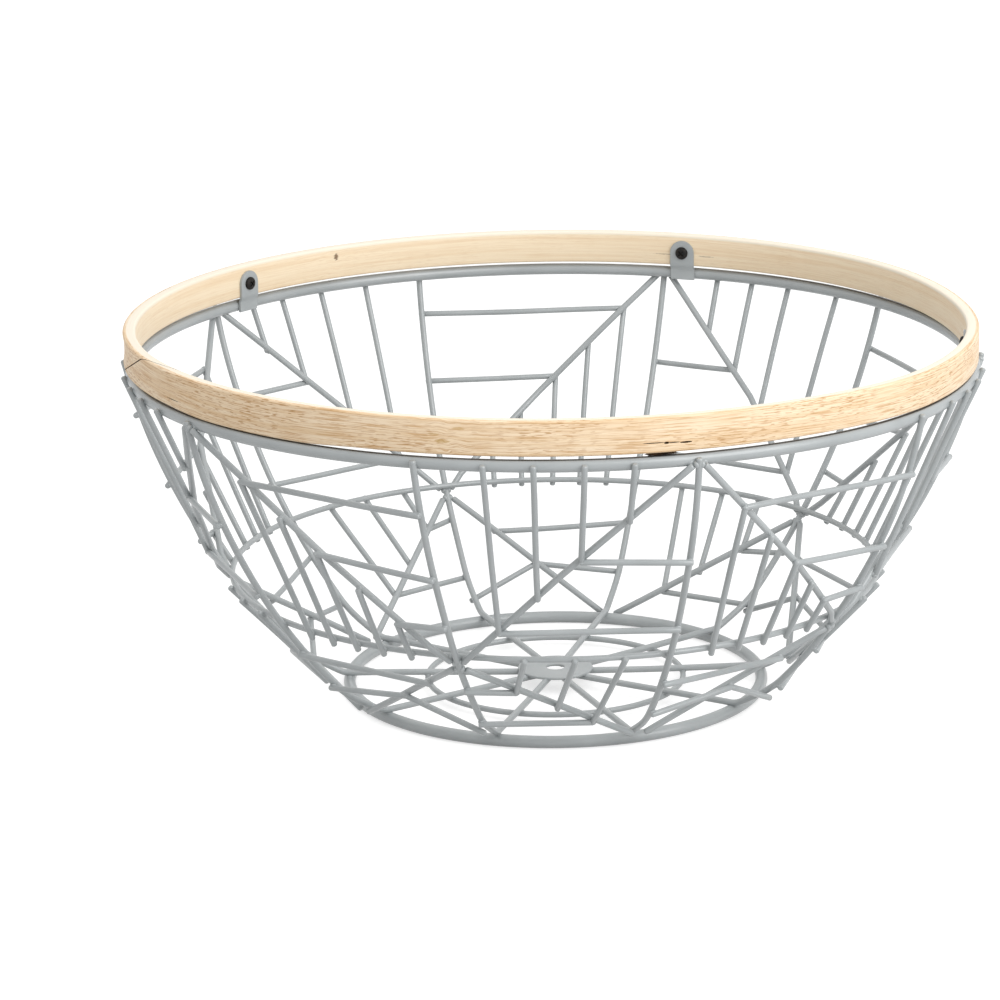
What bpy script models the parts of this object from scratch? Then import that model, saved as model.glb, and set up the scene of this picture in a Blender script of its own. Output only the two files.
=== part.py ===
"""A round wire bowl with a bent bamboo rim.

Three rod rings and a small base ring carry a cage of thinner wires. The cage repeats five
times around: two uprights, two long diagonals above the middle ring and two below it, and
short wires welded between them. A flat bamboo hoop stands above the top ring, screwed to
five tabs. Metres, +Z up, origin on the table under the bowl's middle.
"""

import math

import bmesh
import bpy
from mathutils import Matrix, Vector

# Overall sizes
RIM_DIAMETER = 0.300
BOWL_HEIGHT = 0.1355
GAP = 0.0003
SECTORS = 5

# Bamboo hoop
RIM_HEIGHT = 0.0120
RIM_THICKNESS = 0.0045
RIM_CLEARANCE = 0.0011
RIM_EDGE_ROUND = 0.0007
SCARF_LENGTH = 0.029
SCARF_AZIMUTH = -70.0
SCARF_OVERRUN = 1.2

# Rods and wires
RING_ROD = 0.0043
SMALL_ROD = 0.0021
WIRE = 0.0023
FILL_WIRE = 0.0021
WELD_SINK = 0.0005
SIDE_CLEARANCE = 0.0003

# Rings
BOTTOM_RING_RADIUS = 0.0742
BASE_RING_RADIUS = 0.0460
WALL_BULGE = 0.0113
MIDDLE_RING_TRAVEL = 0.583

# Base
DISC_RADIUS = 0.0135
DISC_THICKNESS = 0.0010
DISC_HOLE_RADIUS = 0.0033
SPOKE_INNER_RADIUS = 0.0080
BASE_DISH = 0.0011
BEND_OUTER_REACH = 0.0040
BEND_OUTER_RISE = 0.0006
BEND_INNER_REACH = 0.0013

# Tabs and screws
TAB_WIDTH = 0.0094
TAB_THICKNESS = 0.0010
TAB_FOOT_HEIGHT = 0.0030
TAB_FOOT_WIDTH = 0.0067
TAB_FOOT_REACH = 0.0008
TAB_TAIL = 0.0019
SCREW_DROP = 0.0069
SCREW_HEAD_RADIUS = 0.0024
SCREW_HEAD_HEIGHT = 0.0014
SCREW_HEAD_EDGE = 0.0004
SCREW_SHANK_RADIUS = 0.0012
SCREW_GRIP = 0.0030
CUT_OVERRUN = 0.0010

# Pattern: turns in degrees round the axis, travels as a share of the wall's arc from its top
NODE_AZIMUTH = 18.1
APEX_TURN = 36.5
TAB_TURN = -2.8
TAB_SLIPS = {0: -1.4, 1: -3.0, 2: 0.5}
TWIST = 1.8
NODE_SLIPS = {2: 1.2, 3: 1.7}
APEX_SLIPS = {1: -0.5, 2: 1.1}
UPRIGHT_TOP_TRAVEL = -0.014
UPRIGHT_BOTTOM_TRAVEL = 0.86
DIAGONAL_TOP_TRAVEL = 0.004
CROSSING_TRAVEL = 0.606
DIAGONAL_BOTTOM_TRAVEL = 0.925
LOW_SLIPS = {2: 0.045, 3: 0.037}
BEND_TURN = 3.5
RIGHT_SAG = 0.0035
RIGHT_DROPS = {0: 0.0050, 2: 0.0050}
LEFT_SAG = 0.0060
LEFT_DROP = 0.0030
OVERHANG = 0.0016
RIB_COUNT = 5
FIRST_RIB_TURN = 7.6
RIB_PITCH = 5.35
RIB_LEAN = -0.15
RIB_SLIPS = {2: (-1.9, -2.0, -2.1, -1.5, -1.5)}
RIB_LEVEL_RISES = {0: 0.006, 2: -0.010, 4: 0.028}
RIB_LEVEL_SHIFTS = {(2, 2): 0.025}
PILLAR_COUNT = 4
FIRST_PILLAR_TURN = 8.7
PILLAR_PITCH = 6.2
PILLAR_SLIPS = {2: (-0.3, 2.3, 2.2, 1.6), 3: (-0.1, 1.15, 2.0, 1.55)}
PILLAR_LEVEL_RISES = {0: 0.022, 2: 0.007}
DROP_COUNT = 3
FIRST_DROP_TURN = 11.2
DROP_PITCH = 8.35
DROP_LEAN = 1.2
DROP_LEAN_STEP = 0.6
DROP_SLIPS = {3: -2.6}
DROP_LEVEL_RISES = {0: 0.040, 2: 0.035}
SHORT_BRACE_TURN = 6.7
SHORT_BRACE_RISE = 0.045
LONG_BRACE_TURN = 15.2
LOW_BRACE_DROP = 0.080

# Facets
RING_STEPS = 72
RING_SIDES = 8
WIRE_SIDES = 6
SCREW_SIDES = 12
SCREW_DOME_STEPS = 2
TAB_ARC_STEPS = 8
SCARF_STEPS = 4
WALL_STEP = 0.011
SMOOTH_ANGLE = 50.0

TURN = 360.0 / SECTORS
RIM_RADIUS = RIM_DIAMETER / 2
TOP_RING_RADIUS = RIM_RADIUS - RIM_THICKNESS + TAB_FOOT_REACH + RING_ROD / 2
TOP_RING_HEIGHT = BOWL_HEIGHT - RIM_HEIGHT - RIM_CLEARANCE - RING_ROD / 2
BOTTOM_RING_HEIGHT = RING_ROD / 2 * math.cos(math.pi / RING_SIDES)
WIRE_LIFT = RING_ROD / 2 + GAP + WIRE / 2
RING_FILL_LIFT = RING_ROD / 2 + GAP + FILL_WIRE / 2
MIDDLE_RING_LIFT = WIRE_LIFT - WIRE / 2 - GAP - SMALL_ROD / 2
WIRE_SPACING = WIRE + SIDE_CLEARANCE
OVER_LIFT = WIRE_LIFT + WIRE / 2 + GAP + FILL_WIRE / 2
MIDDLE_FILL_LIFT = MIDDLE_RING_LIFT + SMALL_ROD / 2 + GAP + FILL_WIRE / 2
SPOKE_HEIGHT = BOTTOM_RING_HEIGHT + RING_ROD / 2 + GAP + WIRE / 2
HUB_HEIGHT = SPOKE_HEIGHT - BASE_DISH

# The wall's section is one arc from the top ring's centre line to the bottom ring's.
WALL_RUN = TOP_RING_RADIUS - BOTTOM_RING_RADIUS
WALL_DROP = TOP_RING_HEIGHT - BOTTOM_RING_HEIGHT
WALL_CHORD = math.hypot(WALL_RUN, WALL_DROP)
WALL_ARC_RADIUS = (WALL_CHORD**2 / 4 + WALL_BULGE**2) / (2 * WALL_BULGE)
WALL_HALF_ANGLE = math.asin(WALL_CHORD / 2 / WALL_ARC_RADIUS)
WALL_TOP_LEAN = math.atan2(WALL_RUN, WALL_DROP) - WALL_HALF_ANGLE
WALL_LENGTH = 2 * WALL_HALF_ANGLE * WALL_ARC_RADIUS


def clear_scene():
    for item in list(bpy.data.objects):
        bpy.data.objects.remove(item)


def make_material(name, colour, roughness, metallic):
    material = bpy.data.materials.new(name)
    material.use_nodes = True
    shader = material.node_tree.nodes["Principled BSDF"]
    shader.inputs["Base Color"].default_value = (*colour, 1.0)
    shader.inputs["Roughness"].default_value = roughness
    shader.inputs["Metallic"].default_value = metallic
    return material


def bamboo():
    return make_material("bamboo", (0.80, 0.58, 0.36), 0.55, 0.0)


def grey_powder_coat():
    return make_material("grey_powder_coat", (0.50, 0.53, 0.54), 0.42, 0.0)


def black_screw():
    return make_material("black_screw", (0.02, 0.02, 0.02), 0.40, 0.2)


def polar(azimuth, radius, height):
    """A point at an azimuth in degrees, 0 towards the front (-Y) and + towards +X."""
    angle = math.radians(azimuth)
    return Vector((radius * math.sin(angle), -radius * math.cos(angle), height))


def wall_section(travel, lift):
    """Radius and height at a share of the wall's arc, a distance outside the ring centres."""
    lean = WALL_TOP_LEAN + 2 * WALL_HALF_ANGLE * travel
    radius = TOP_RING_RADIUS - WALL_ARC_RADIUS * (math.cos(WALL_TOP_LEAN) - math.cos(lean))
    height = TOP_RING_HEIGHT - WALL_ARC_RADIUS * (math.sin(lean) - math.sin(WALL_TOP_LEAN))
    return radius + lift * math.cos(lean), height - lift * math.sin(lean)


def wall_point(azimuth, travel, lift):
    radius, height = wall_section(travel, lift)
    return polar(azimuth + TWIST * travel, radius, height)


def wall_path(azimuth, high, low, lift):
    """Points down the wall at one azimuth, about WALL_STEP apart."""
    steps = round((low - high) * WALL_LENGTH / WALL_STEP)
    travels = [high + (low - high) * step / steps for step in range(steps + 1)]
    return [wall_point(azimuth, travel, lift) for travel in travels]


def wall_lean(height):
    """The wall's slope at a height, as an angle from the vertical."""
    return math.asin(math.sin(WALL_TOP_LEAN) + (TOP_RING_HEIGHT - height) / WALL_ARC_RADIUS)


def travel_of(point):
    return (wall_lean(point.z) - WALL_TOP_LEAN) / (2 * WALL_HALF_ANGLE)


def outside_of(point, distance):
    """The point moved outwards, square to the wall."""
    lean = wall_lean(point.z)
    outwards = Vector((point.x, point.y, 0)).normalized() * math.cos(lean)
    return point + (outwards - Vector((0, 0, math.sin(lean)))) * distance


def point_at(points, azimuth):
    """Where a wire of straight stretches crosses the upright plane through the axis."""
    across = polar(azimuth + 90, 1, 0)
    for start, end in zip(points, points[1:]):
        if across.dot(start) * across.dot(end) <= 0:
            break
    return start - (end - start) * across.dot(start) / across.dot(end - start)


def wire_past(start, over):
    """A straight wire that runs a little past both points."""
    overhang = (over - start).normalized() * OVERHANG
    return start - overhang, over + overhang


def tube_mesh(name, points, diameter, sides):
    """A closed tube along the points, its section carried round the bends without twisting."""
    points = [Vector(point) for point in points]
    runs = [(b - a).normalized() for a, b in zip(points, points[1:])]
    headings = [runs[0]]
    headings += [(a + b).normalized() for a, b in zip(runs, runs[1:])]
    headings.append(runs[-1])
    across = headings[0].orthogonal().normalized()
    mesh = bmesh.new()
    rings = []
    for index, (point, heading) in enumerate(zip(points, headings)):
        if index:
            across = headings[index - 1].rotation_difference(heading) @ across
        other = heading.cross(across)
        ring = []
        for side in range(sides):
            angle = 2 * math.pi * side / sides
            offset = across * math.cos(angle) + other * math.sin(angle)
            ring.append(mesh.verts.new(point + offset * diameter / 2))
        rings.append(ring)
    for low, high in zip(rings, rings[1:]):
        for side in range(sides):
            after = (side + 1) % sides
            mesh.faces.new((low[side], low[after], high[after], high[side]))
    mesh.faces.new(reversed(rings[0]))
    mesh.faces.new(rings[-1])
    return finish_mesh(name, mesh)


def ring_mesh(name, section, steps):
    """A closed ring: a section of (radius, height) corners spun once round the Z axis."""
    mesh = bmesh.new()
    corners = [mesh.verts.new(polar(0, radius, height)) for radius, height in section]
    edges = [mesh.edges.new(pair) for pair in zip(corners, corners[1:] + corners[:1])]
    bmesh.ops.spin(
        mesh,
        geom=corners + edges,
        axis=(0, 0, 1),
        cent=(0, 0, 0),
        angle=2 * math.pi,
        steps=steps,
        use_merge=True,
    )
    bmesh.ops.recalc_face_normals(mesh, faces=mesh.faces)
    return finish_mesh(name, mesh)


def finish_mesh(name, mesh):
    data = bpy.data.meshes.new(name)
    mesh.to_mesh(data)
    mesh.free()
    data.shade_smooth()
    data.set_sharp_from_angle(angle=math.radians(SMOOTH_ANGLE))
    return data


def add_object(name, data, material, azimuth=0.0):
    item = bpy.data.objects.new(name, data)
    item.rotation_euler.z = math.radians(azimuth)
    data.materials.clear()
    data.materials.append(material)
    bpy.context.scene.collection.objects.link(item)
    return item


def add_helper(name, data):
    """A Boolean operand: never rendered, so it is no part of the bowl."""
    item = bpy.data.objects.new(name, data)
    item.hide_render = True
    item.display_type = "WIRE"
    bpy.context.scene.collection.objects.link(item)
    return item


def use_boolean(item, helper, operation):
    modifier = item.modifiers.new(helper.name, "BOOLEAN")
    modifier.operation = operation
    modifier.solver = "EXACT"
    modifier.object = helper


def evaluated_mesh(name, item):
    graph = bpy.context.evaluated_depsgraph_get()
    data = bpy.data.meshes.new_from_object(item.evaluated_get(graph))
    data.name = name
    return data


def weld_mesh(name, wires):
    """One mesh of several (points, diameter) wires, joined where they cross."""
    parts = [
        add_helper(f"{name}_{index}", tube_mesh(f"{name}_{index}", points, size, WIRE_SIDES))
        for index, (points, size) in enumerate(wires)
    ]
    for part in parts[1:]:
        use_boolean(parts[0], part, "UNION")
    data = evaluated_mesh(name, parts[0])
    for part in parts:
        bpy.data.objects.remove(part)
    return data


def node_azimuth(sector):
    """Where a sector's node stands. The hand-made bowl's nodes aren't quite evenly spaced."""
    return NODE_AZIMUTH + TURN * sector + NODE_SLIPS.get(sector % SECTORS, 0.0)


def apex_azimuth(sector):
    return NODE_AZIMUTH + APEX_TURN + TURN * sector + APEX_SLIPS.get(sector % SECTORS, 0.0)


def tab_azimuth(sector):
    return NODE_AZIMUTH + TAB_TURN + TURN * sector + TAB_SLIPS.get(sector, 0.0)


def add_at_tabs(name, data, material):
    """One copy at each tab. They share the mesh, which is modelled at azimuth 0."""
    for sector in range(SECTORS):
        add_object(f"{name}_{sector + 1}", data, material, tab_azimuth(sector))


def side_turn(travel, reach):
    """The angle in degrees that a distance along the ring takes up at this travel."""
    radius, _ = wall_section(travel, WIRE_LIFT)
    return math.degrees(reach / radius)


def rod_section(radius, height, diameter, sides):
    corners = []
    for side in range(sides):
        angle = 2 * math.pi * (side + 0.5) / sides
        corner = (radius + diameter / 2 * math.cos(angle), height + diameter / 2 * math.sin(angle))
        corners.append(corner)
    return corners


def add_rings(material):
    middle_radius, middle_height = wall_section(MIDDLE_RING_TRAVEL, MIDDLE_RING_LIFT)
    base_run = BOTTOM_RING_RADIUS - SPOKE_INNER_RADIUS
    base_share = (BOTTOM_RING_RADIUS - BASE_RING_RADIUS) / base_run
    spoke_height = SPOKE_HEIGHT - BASE_DISH * base_share
    base_height = spoke_height - WIRE / 2 - GAP - SMALL_ROD / 2
    rings = (
        ("top_ring", TOP_RING_RADIUS, TOP_RING_HEIGHT, RING_ROD, RING_SIDES),
        ("middle_ring", middle_radius, middle_height, SMALL_ROD, WIRE_SIDES),
        ("bottom_ring", BOTTOM_RING_RADIUS, BOTTOM_RING_HEIGHT, RING_ROD, RING_SIDES),
        ("base_ring", BASE_RING_RADIUS, base_height, SMALL_ROD, WIRE_SIDES),
    )
    for name, radius, height, diameter, sides in rings:
        section = rod_section(radius, height, diameter, sides)
        add_object(name, ring_mesh(name, section, RING_STEPS), material)


def add_disc(material):
    """The plate that covers the spokes' inner ends, with a round hole."""
    low = HUB_HEIGHT + WIRE / 2 + GAP + BASE_DISH * (
        (DISC_RADIUS - SPOKE_INNER_RADIUS) / (BOTTOM_RING_RADIUS - SPOKE_INNER_RADIUS)
    )
    high = low + DISC_THICKNESS
    section = [
        (DISC_HOLE_RADIUS, low),
        (DISC_RADIUS, low),
        (DISC_RADIUS, high),
        (DISC_HOLE_RADIUS, high),
    ]
    add_object("base_disc", ring_mesh("base_disc", section, RING_STEPS // 2), material)


def upright_points(azimuth):
    """Down the wall, round the outside of the bottom ring's top, then in as a spoke."""
    points = wall_path(azimuth, UPRIGHT_TOP_TRAVEL, UPRIGHT_BOTTOM_TRAVEL, WIRE_LIFT)
    bearing = azimuth + TWIST
    outer = BOTTOM_RING_RADIUS + BEND_OUTER_REACH
    points.append(polar(bearing, outer, SPOKE_HEIGHT + BEND_OUTER_RISE))
    points.append(polar(bearing, BOTTOM_RING_RADIUS + BEND_INNER_REACH, SPOKE_HEIGHT))
    points.append(polar(bearing, BOTTOM_RING_RADIUS - BEND_INNER_REACH, SPOKE_HEIGHT))
    points.append(polar(bearing, SPOKE_INNER_RADIUS, HUB_HEIGHT))
    return points


def add_uprights(material):
    for name, place in (("node_upright", node_azimuth), ("apex_upright", apex_azimuth)):
        data = tube_mesh(name, upright_points(0.0), WIRE, WIRE_SIDES)
        for sector in range(SECTORS):
            add_object(f"{name}_{sector + 1}", data, material, place(sector))


def upper_diagonal(sector, hand, sag, drop):
    """From beside the node's upright, under the top ring, to beside the apex's upright: to
    the right of the node for hand 1, to the left for hand -1. Its middle lies inside the
    round wall and a little low, and near the middle ring it is bent back to the wall."""
    apex = apex_azimuth(sector if hand > 0 else sector - 1)
    reach = hand * (apex - node_azimuth(sector))
    top_turn = reach - side_turn(DIAGONAL_TOP_TRAVEL, WIRE_SPACING)
    turns = (top_turn, reach / 2, BEND_TURN, side_turn(CROSSING_TRAVEL, WIRE_SPACING))
    slope = (CROSSING_TRAVEL - DIAGONAL_TOP_TRAVEL) / top_turn
    points = [
        wall_point(apex - hand * turn, CROSSING_TRAVEL - slope * turn, WIRE_LIFT)
        for turn in turns
    ]
    points[1] = outside_of(points[1], -sag) - Vector((0, 0, drop))
    return points


def lower_diagonal(sector, hand):
    """From beside an apex's upright, under the middle ring, down to beside the sector's node
    upright: to the right of the apex for hand 1, to the left for hand -1."""
    end_travel = DIAGONAL_BOTTOM_TRAVEL + LOW_SLIPS.get(sector, 0.0)
    top_turn = hand * side_turn(CROSSING_TRAVEL, WIRE_SPACING)
    end_turn = hand * side_turn(end_travel, WIRE_SPACING)
    node = node_azimuth(sector)
    apex = apex_azimuth(sector if hand < 0 else sector - 1)
    slope = (end_travel - CROSSING_TRAVEL) / abs(node - apex)
    start_travel = CROSSING_TRAVEL + slope * abs(top_turn)
    return (
        wall_point(apex + top_turn, start_travel, WIRE_LIFT),
        wall_point(node - end_turn, end_travel, WIRE_LIFT),
    )


def weld_point(wire, azimuth):
    """The centre of a fill wire's end where it is welded to the outside of another wire."""
    return outside_of(point_at(wire, azimuth), (WIRE + FILL_WIRE) / 2 - WELD_SINK)


def level_wire(start, azimuth, rise):
    """A wire from a weld point out past the upright at an azimuth, so much further up."""
    return wire_past(start, wall_point(azimuth, travel_of(start) - rise, OVER_LIFT))


def right_leaf_wires(sector):
    """Upper diagonal, ribs down past the middle ring, and level wires out to the apex."""
    diagonal = upper_diagonal(sector, 1, RIGHT_SAG, RIGHT_DROPS.get(sector, 0.0))
    slips = RIB_SLIPS.get(sector, (0.0,) * RIB_COUNT)
    wires = [(diagonal, WIRE)]
    for rib in range(RIB_COUNT):
        azimuth = node_azimuth(sector) + FIRST_RIB_TURN + RIB_PITCH * rib + slips[rib]
        top = weld_point(diagonal, azimuth)
        foot = wall_point(azimuth + RIB_LEAN * rib, MIDDLE_RING_TRAVEL, MIDDLE_FILL_LIFT)
        wires.append((wire_past(top, foot), FILL_WIRE))
        if rib in RIB_LEVEL_RISES:
            rise = RIB_LEVEL_RISES[rib] + RIB_LEVEL_SHIFTS.get((sector, rib), 0.0)
            level = level_wire(top, apex_azimuth(sector), rise)
            wires.append((level, FILL_WIRE))
    return wires


def left_leaf_wires(sector):
    """Upper diagonal, pillars down to it from past the top ring, and two level wires."""
    diagonal = upper_diagonal(sector, -1, LEFT_SAG, LEFT_DROP)
    slips = PILLAR_SLIPS.get(sector, (0.0,) * PILLAR_COUNT)
    wires = [(diagonal, WIRE)]
    for pillar in range(PILLAR_COUNT):
        turn = FIRST_PILLAR_TURN + PILLAR_PITCH * pillar + slips[pillar]
        azimuth = apex_azimuth(sector - 1) + turn
        foot = weld_point(diagonal, azimuth)
        wires.append((wire_past(foot, wall_point(azimuth, 0, RING_FILL_LIFT)), FILL_WIRE))
        if pillar in PILLAR_LEVEL_RISES:
            level = level_wire(foot, node_azimuth(sector), PILLAR_LEVEL_RISES[pillar])
            wires.append((level, FILL_WIRE))
    return wires


def lower_right_leaf_wires(sector):
    """Lower diagonal, drops to it from past the middle ring, and level wires to the apex."""
    diagonal = lower_diagonal(sector, 1)
    apex = apex_azimuth(sector - 1)
    wires = [(diagonal, WIRE)]
    for drop in range(DROP_COUNT):
        azimuth = apex + FIRST_DROP_TURN + DROP_PITCH * drop + DROP_SLIPS.get(sector, 0.0)
        foot = weld_point(diagonal, azimuth - DROP_LEAN - DROP_LEAN_STEP * drop)
        top = wall_point(azimuth, MIDDLE_RING_TRAVEL, MIDDLE_FILL_LIFT)
        wires.append((wire_past(foot, top), FILL_WIRE))
        if drop in DROP_LEVEL_RISES:
            wires.append((level_wire(foot, apex, DROP_LEVEL_RISES[drop]), FILL_WIRE))
    return wires


def lower_left_leaf_wires(sector):
    """Lower diagonal, two braces from past the node's upright, and one past the apex's."""
    diagonal = lower_diagonal(sector, -1)
    node, apex = node_azimuth(sector), apex_azimuth(sector)
    wires = [(diagonal, WIRE)]
    short = weld_point(diagonal, apex - SHORT_BRACE_TURN)
    wires.append((level_wire(short, node, SHORT_BRACE_RISE), FILL_WIRE))
    long = weld_point(diagonal, apex - LONG_BRACE_TURN)
    wires.append((level_wire(long, node, 0), FILL_WIRE))
    wires.append((level_wire(long, apex, -LOW_BRACE_DROP), FILL_WIRE))
    return wires


def add_leaves(material):
    leaves = (
        ("right_leaf", right_leaf_wires),
        ("left_leaf", left_leaf_wires),
        ("lower_right_leaf", lower_right_leaf_wires),
        ("lower_left_leaf", lower_left_leaf_wires),
    )
    for leaf, wires in leaves:
        for sector in range(SECTORS):
            name = f"{leaf}_{sector + 1}"
            add_object(name, weld_mesh(name, wires(sector)), material)


def tab_frame(azimuth):
    """A frame on the middle of a tab's inner face: Y outwards, Z up."""
    radius = RIM_RADIUS - RIM_THICKNESS - GAP - TAB_THICKNESS
    place = Matrix.Translation(polar(azimuth, radius, BOWL_HEIGHT - SCREW_DROP))
    return place @ Matrix.Rotation(math.radians(azimuth + 180), 4, "Z")


def box_mesh(name, low, high):
    mesh = bmesh.new()
    middle = Matrix.Translation((Vector(low) + Vector(high)) / 2)
    size = Matrix.Diagonal((Vector(high) - Vector(low)).to_4d())
    bmesh.ops.create_cube(mesh, size=1.0, matrix=middle @ size)
    return finish_mesh(name, mesh)


def bore_mesh(name, start, end):
    """A round cutter for a screw's hole, along Y."""
    mesh = bmesh.new()
    turned = Matrix.Rotation(math.radians(90), 4, "X")
    bmesh.ops.create_cone(
        mesh,
        cap_ends=True,
        segments=SCREW_SIDES,
        radius1=SCREW_SHANK_RADIUS + GAP,
        radius2=SCREW_SHANK_RADIUS + GAP,
        depth=end - start,
        matrix=Matrix.Translation((0, (start + end) / 2, 0)) @ turned,
    )
    return finish_mesh(name, mesh)


def tab_plate_mesh(bottom):
    half = TAB_WIDTH / 2
    outline = [(-half, bottom), (half, bottom)]
    for step in range(TAB_ARC_STEPS + 1):
        angle = math.pi * step / TAB_ARC_STEPS
        outline.append((half * math.cos(angle), half * math.sin(angle)))
    mesh = bmesh.new()
    face = mesh.faces.new([mesh.verts.new((x, 0, z)) for x, z in outline])
    grown = bmesh.ops.extrude_face_region(mesh, geom=[face])["geom"]
    corners = [item for item in grown if isinstance(item, bmesh.types.BMVert)]
    bmesh.ops.translate(mesh, verts=corners, vec=(0, TAB_THICKNESS, 0))
    bmesh.ops.recalc_face_normals(mesh, faces=mesh.faces)
    return finish_mesh("tab_plate", mesh)


def add_tabs(material):
    """Upright plates with a round top, a screw hole and a foot out to the top ring."""
    bottom = SCREW_DROP - (BOWL_HEIGHT - TOP_RING_HEIGHT) - TAB_TAIL
    half = TAB_FOOT_WIDTH / 2
    low = (-half, TAB_THICKNESS / 2, bottom)
    high = (half, TAB_THICKNESS + TAB_FOOT_REACH, bottom + TAB_FOOT_HEIGHT)
    plate = add_helper("tab_plate", tab_plate_mesh(bottom))
    foot = add_helper("tab_foot", box_mesh("tab_foot", low, high))
    hole = add_helper("tab_hole", bore_mesh("tab_hole", -CUT_OVERRUN, TAB_THICKNESS + CUT_OVERRUN))
    use_boolean(plate, foot, "UNION")
    use_boolean(plate, hole, "DIFFERENCE")
    data = evaluated_mesh("tab", plate)
    data.transform(tab_frame(0))
    for helper in (plate, foot, hole):
        bpy.data.objects.remove(helper)
    add_at_tabs("tab", data, material)


def add_screws(material):
    """A low domed head inside each tab and a plain shank through it into the hoop."""
    rise = SCREW_HEAD_HEIGHT - SCREW_HEAD_EDGE
    outline = []
    for step in range(SCREW_DOME_STEPS + 1):
        angle = math.pi / 2 * (1 - step / SCREW_DOME_STEPS)
        crown = -GAP - SCREW_HEAD_EDGE - rise * math.sin(angle)
        outline.append((SCREW_HEAD_RADIUS * math.cos(angle), crown))
    tip = TAB_THICKNESS + GAP + SCREW_GRIP
    outline += [(SCREW_HEAD_RADIUS, -GAP), (SCREW_SHANK_RADIUS, -GAP)]
    outline += [(SCREW_SHANK_RADIUS, tip), (0.0, tip)]
    mesh = bmesh.new()
    corners = [mesh.verts.new((x, y, 0)) for x, y in outline]
    edges = [mesh.edges.new(pair) for pair in zip(corners, corners[1:])]
    bmesh.ops.spin(
        mesh,
        geom=corners + edges,
        axis=(0, 1, 0),
        cent=(0, 0, 0),
        angle=2 * math.pi,
        steps=SCREW_SIDES,
        use_merge=True,
    )
    bmesh.ops.remove_doubles(mesh, verts=mesh.verts, dist=1e-6)
    bmesh.ops.recalc_face_normals(mesh, faces=mesh.faces)
    data = finish_mesh("screw", mesh)
    data.transform(tab_frame(0))
    add_at_tabs("screw", data, material)


def scarf_slit_mesh():
    """A thin curved wall that goes through the hoop at a slant, from its outside inwards."""
    half_turn = math.degrees(SCARF_LENGTH / 2 / RIM_RADIUS)
    middle = RIM_RADIUS - RIM_THICKNESS / 2
    low = BOWL_HEIGHT - RIM_HEIGHT - CUT_OVERRUN
    high = BOWL_HEIGHT + CUT_OVERRUN
    mesh = bmesh.new()
    slices = []
    for step in range(-SCARF_STEPS, SCARF_STEPS + 1):
        share = SCARF_OVERRUN * step / SCARF_STEPS
        azimuth = SCARF_AZIMUTH + half_turn * share
        radius = middle - RIM_THICKNESS / 2 * share
        inner = radius - GAP / 2
        outer = radius + GAP / 2
        corners = ((inner, low), (outer, low), (outer, high), (inner, high))
        slices.append([mesh.verts.new(polar(azimuth, r, z)) for r, z in corners])
    for near, far in zip(slices, slices[1:]):
        for corner in range(4):
            after = (corner + 1) % 4
            mesh.faces.new((near[corner], near[after], far[after], far[corner]))
    mesh.faces.new(slices[0])
    mesh.faces.new(slices[-1])
    bmesh.ops.recalc_face_normals(mesh, faces=mesh.faces)
    return finish_mesh("scarf_slit", mesh)


def add_hoop(material):
    """A flat strip bent to a ring, its two tapered ends meeting in a scarf joint."""
    outer = RIM_RADIUS
    inner = RIM_RADIUS - RIM_THICKNESS
    high = BOWL_HEIGHT
    low = BOWL_HEIGHT - RIM_HEIGHT
    edge = RIM_EDGE_ROUND
    section = [(inner, low), (outer - edge, low), (outer, low + edge), (outer, high - edge)]
    section += [(outer - edge, high), (inner + edge, high), (inner, high - edge)]
    hoop = add_object("bamboo_hoop", ring_mesh("bamboo_hoop", section, RING_STEPS), material)
    use_boolean(hoop, add_helper("scarf_slit", scarf_slit_mesh()), "DIFFERENCE")
    for sector in range(SECTORS):
        name = f"screw_bore_{sector + 1}"
        bore = bore_mesh(name, TAB_THICKNESS, TAB_THICKNESS + SCREW_GRIP + 2 * GAP)
        bore.transform(tab_frame(tab_azimuth(sector)))
        use_boolean(hoop, add_helper(name, bore), "DIFFERENCE")


def build():
    clear_scene()
    grey = grey_powder_coat()
    add_hoop(bamboo())
    add_rings(grey)
    add_disc(grey)
    add_uprights(grey)
    add_leaves(grey)
    add_tabs(grey)
    add_screws(black_screw())


build()
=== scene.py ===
# %% [markdown]
# # A wire bowl with a bamboo rim
# A CAD model of this fruit bowl is ready: it says where every rod, wire and screw lies, in metres.
# This lesson gives it the surface that a camera sees: round wires with weld beads and a grey powder
# coat, a bent bamboo strip with its grain, a studio floor and soft light. The CAD is loaded first
# and stays fixed, so that everything made later can be set against it.

# %% Load the CAD model
import math

import bmesh
import bpy
from mathutils import Matrix, Vector
from mathutils.geometry import intersect_line_line


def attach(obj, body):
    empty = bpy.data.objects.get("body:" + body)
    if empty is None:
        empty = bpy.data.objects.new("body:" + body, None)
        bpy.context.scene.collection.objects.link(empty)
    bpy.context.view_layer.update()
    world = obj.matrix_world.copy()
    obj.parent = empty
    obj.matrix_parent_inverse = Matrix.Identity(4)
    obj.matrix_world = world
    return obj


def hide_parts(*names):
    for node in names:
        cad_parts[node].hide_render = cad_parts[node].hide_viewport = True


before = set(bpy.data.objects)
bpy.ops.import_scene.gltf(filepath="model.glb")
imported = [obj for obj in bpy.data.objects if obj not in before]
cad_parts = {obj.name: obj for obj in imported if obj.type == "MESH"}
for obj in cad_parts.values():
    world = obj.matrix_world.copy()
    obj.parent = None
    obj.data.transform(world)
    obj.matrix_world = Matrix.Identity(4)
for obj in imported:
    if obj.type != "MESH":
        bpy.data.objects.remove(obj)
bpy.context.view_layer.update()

# %% [markdown]
# ## The sizes
# The real bowl is made of three stock sizes: a 4 mm rod for the two big rings, which is 4.3 mm with
# its paint, a 2.3 mm wire for the long members and a 2.1 mm wire for everything short. The CAD
# keeps a hair of air between pieces. On the real bowl they are pressed together while they are
# welded, so here each wire sinks a little into the next one.

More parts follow.
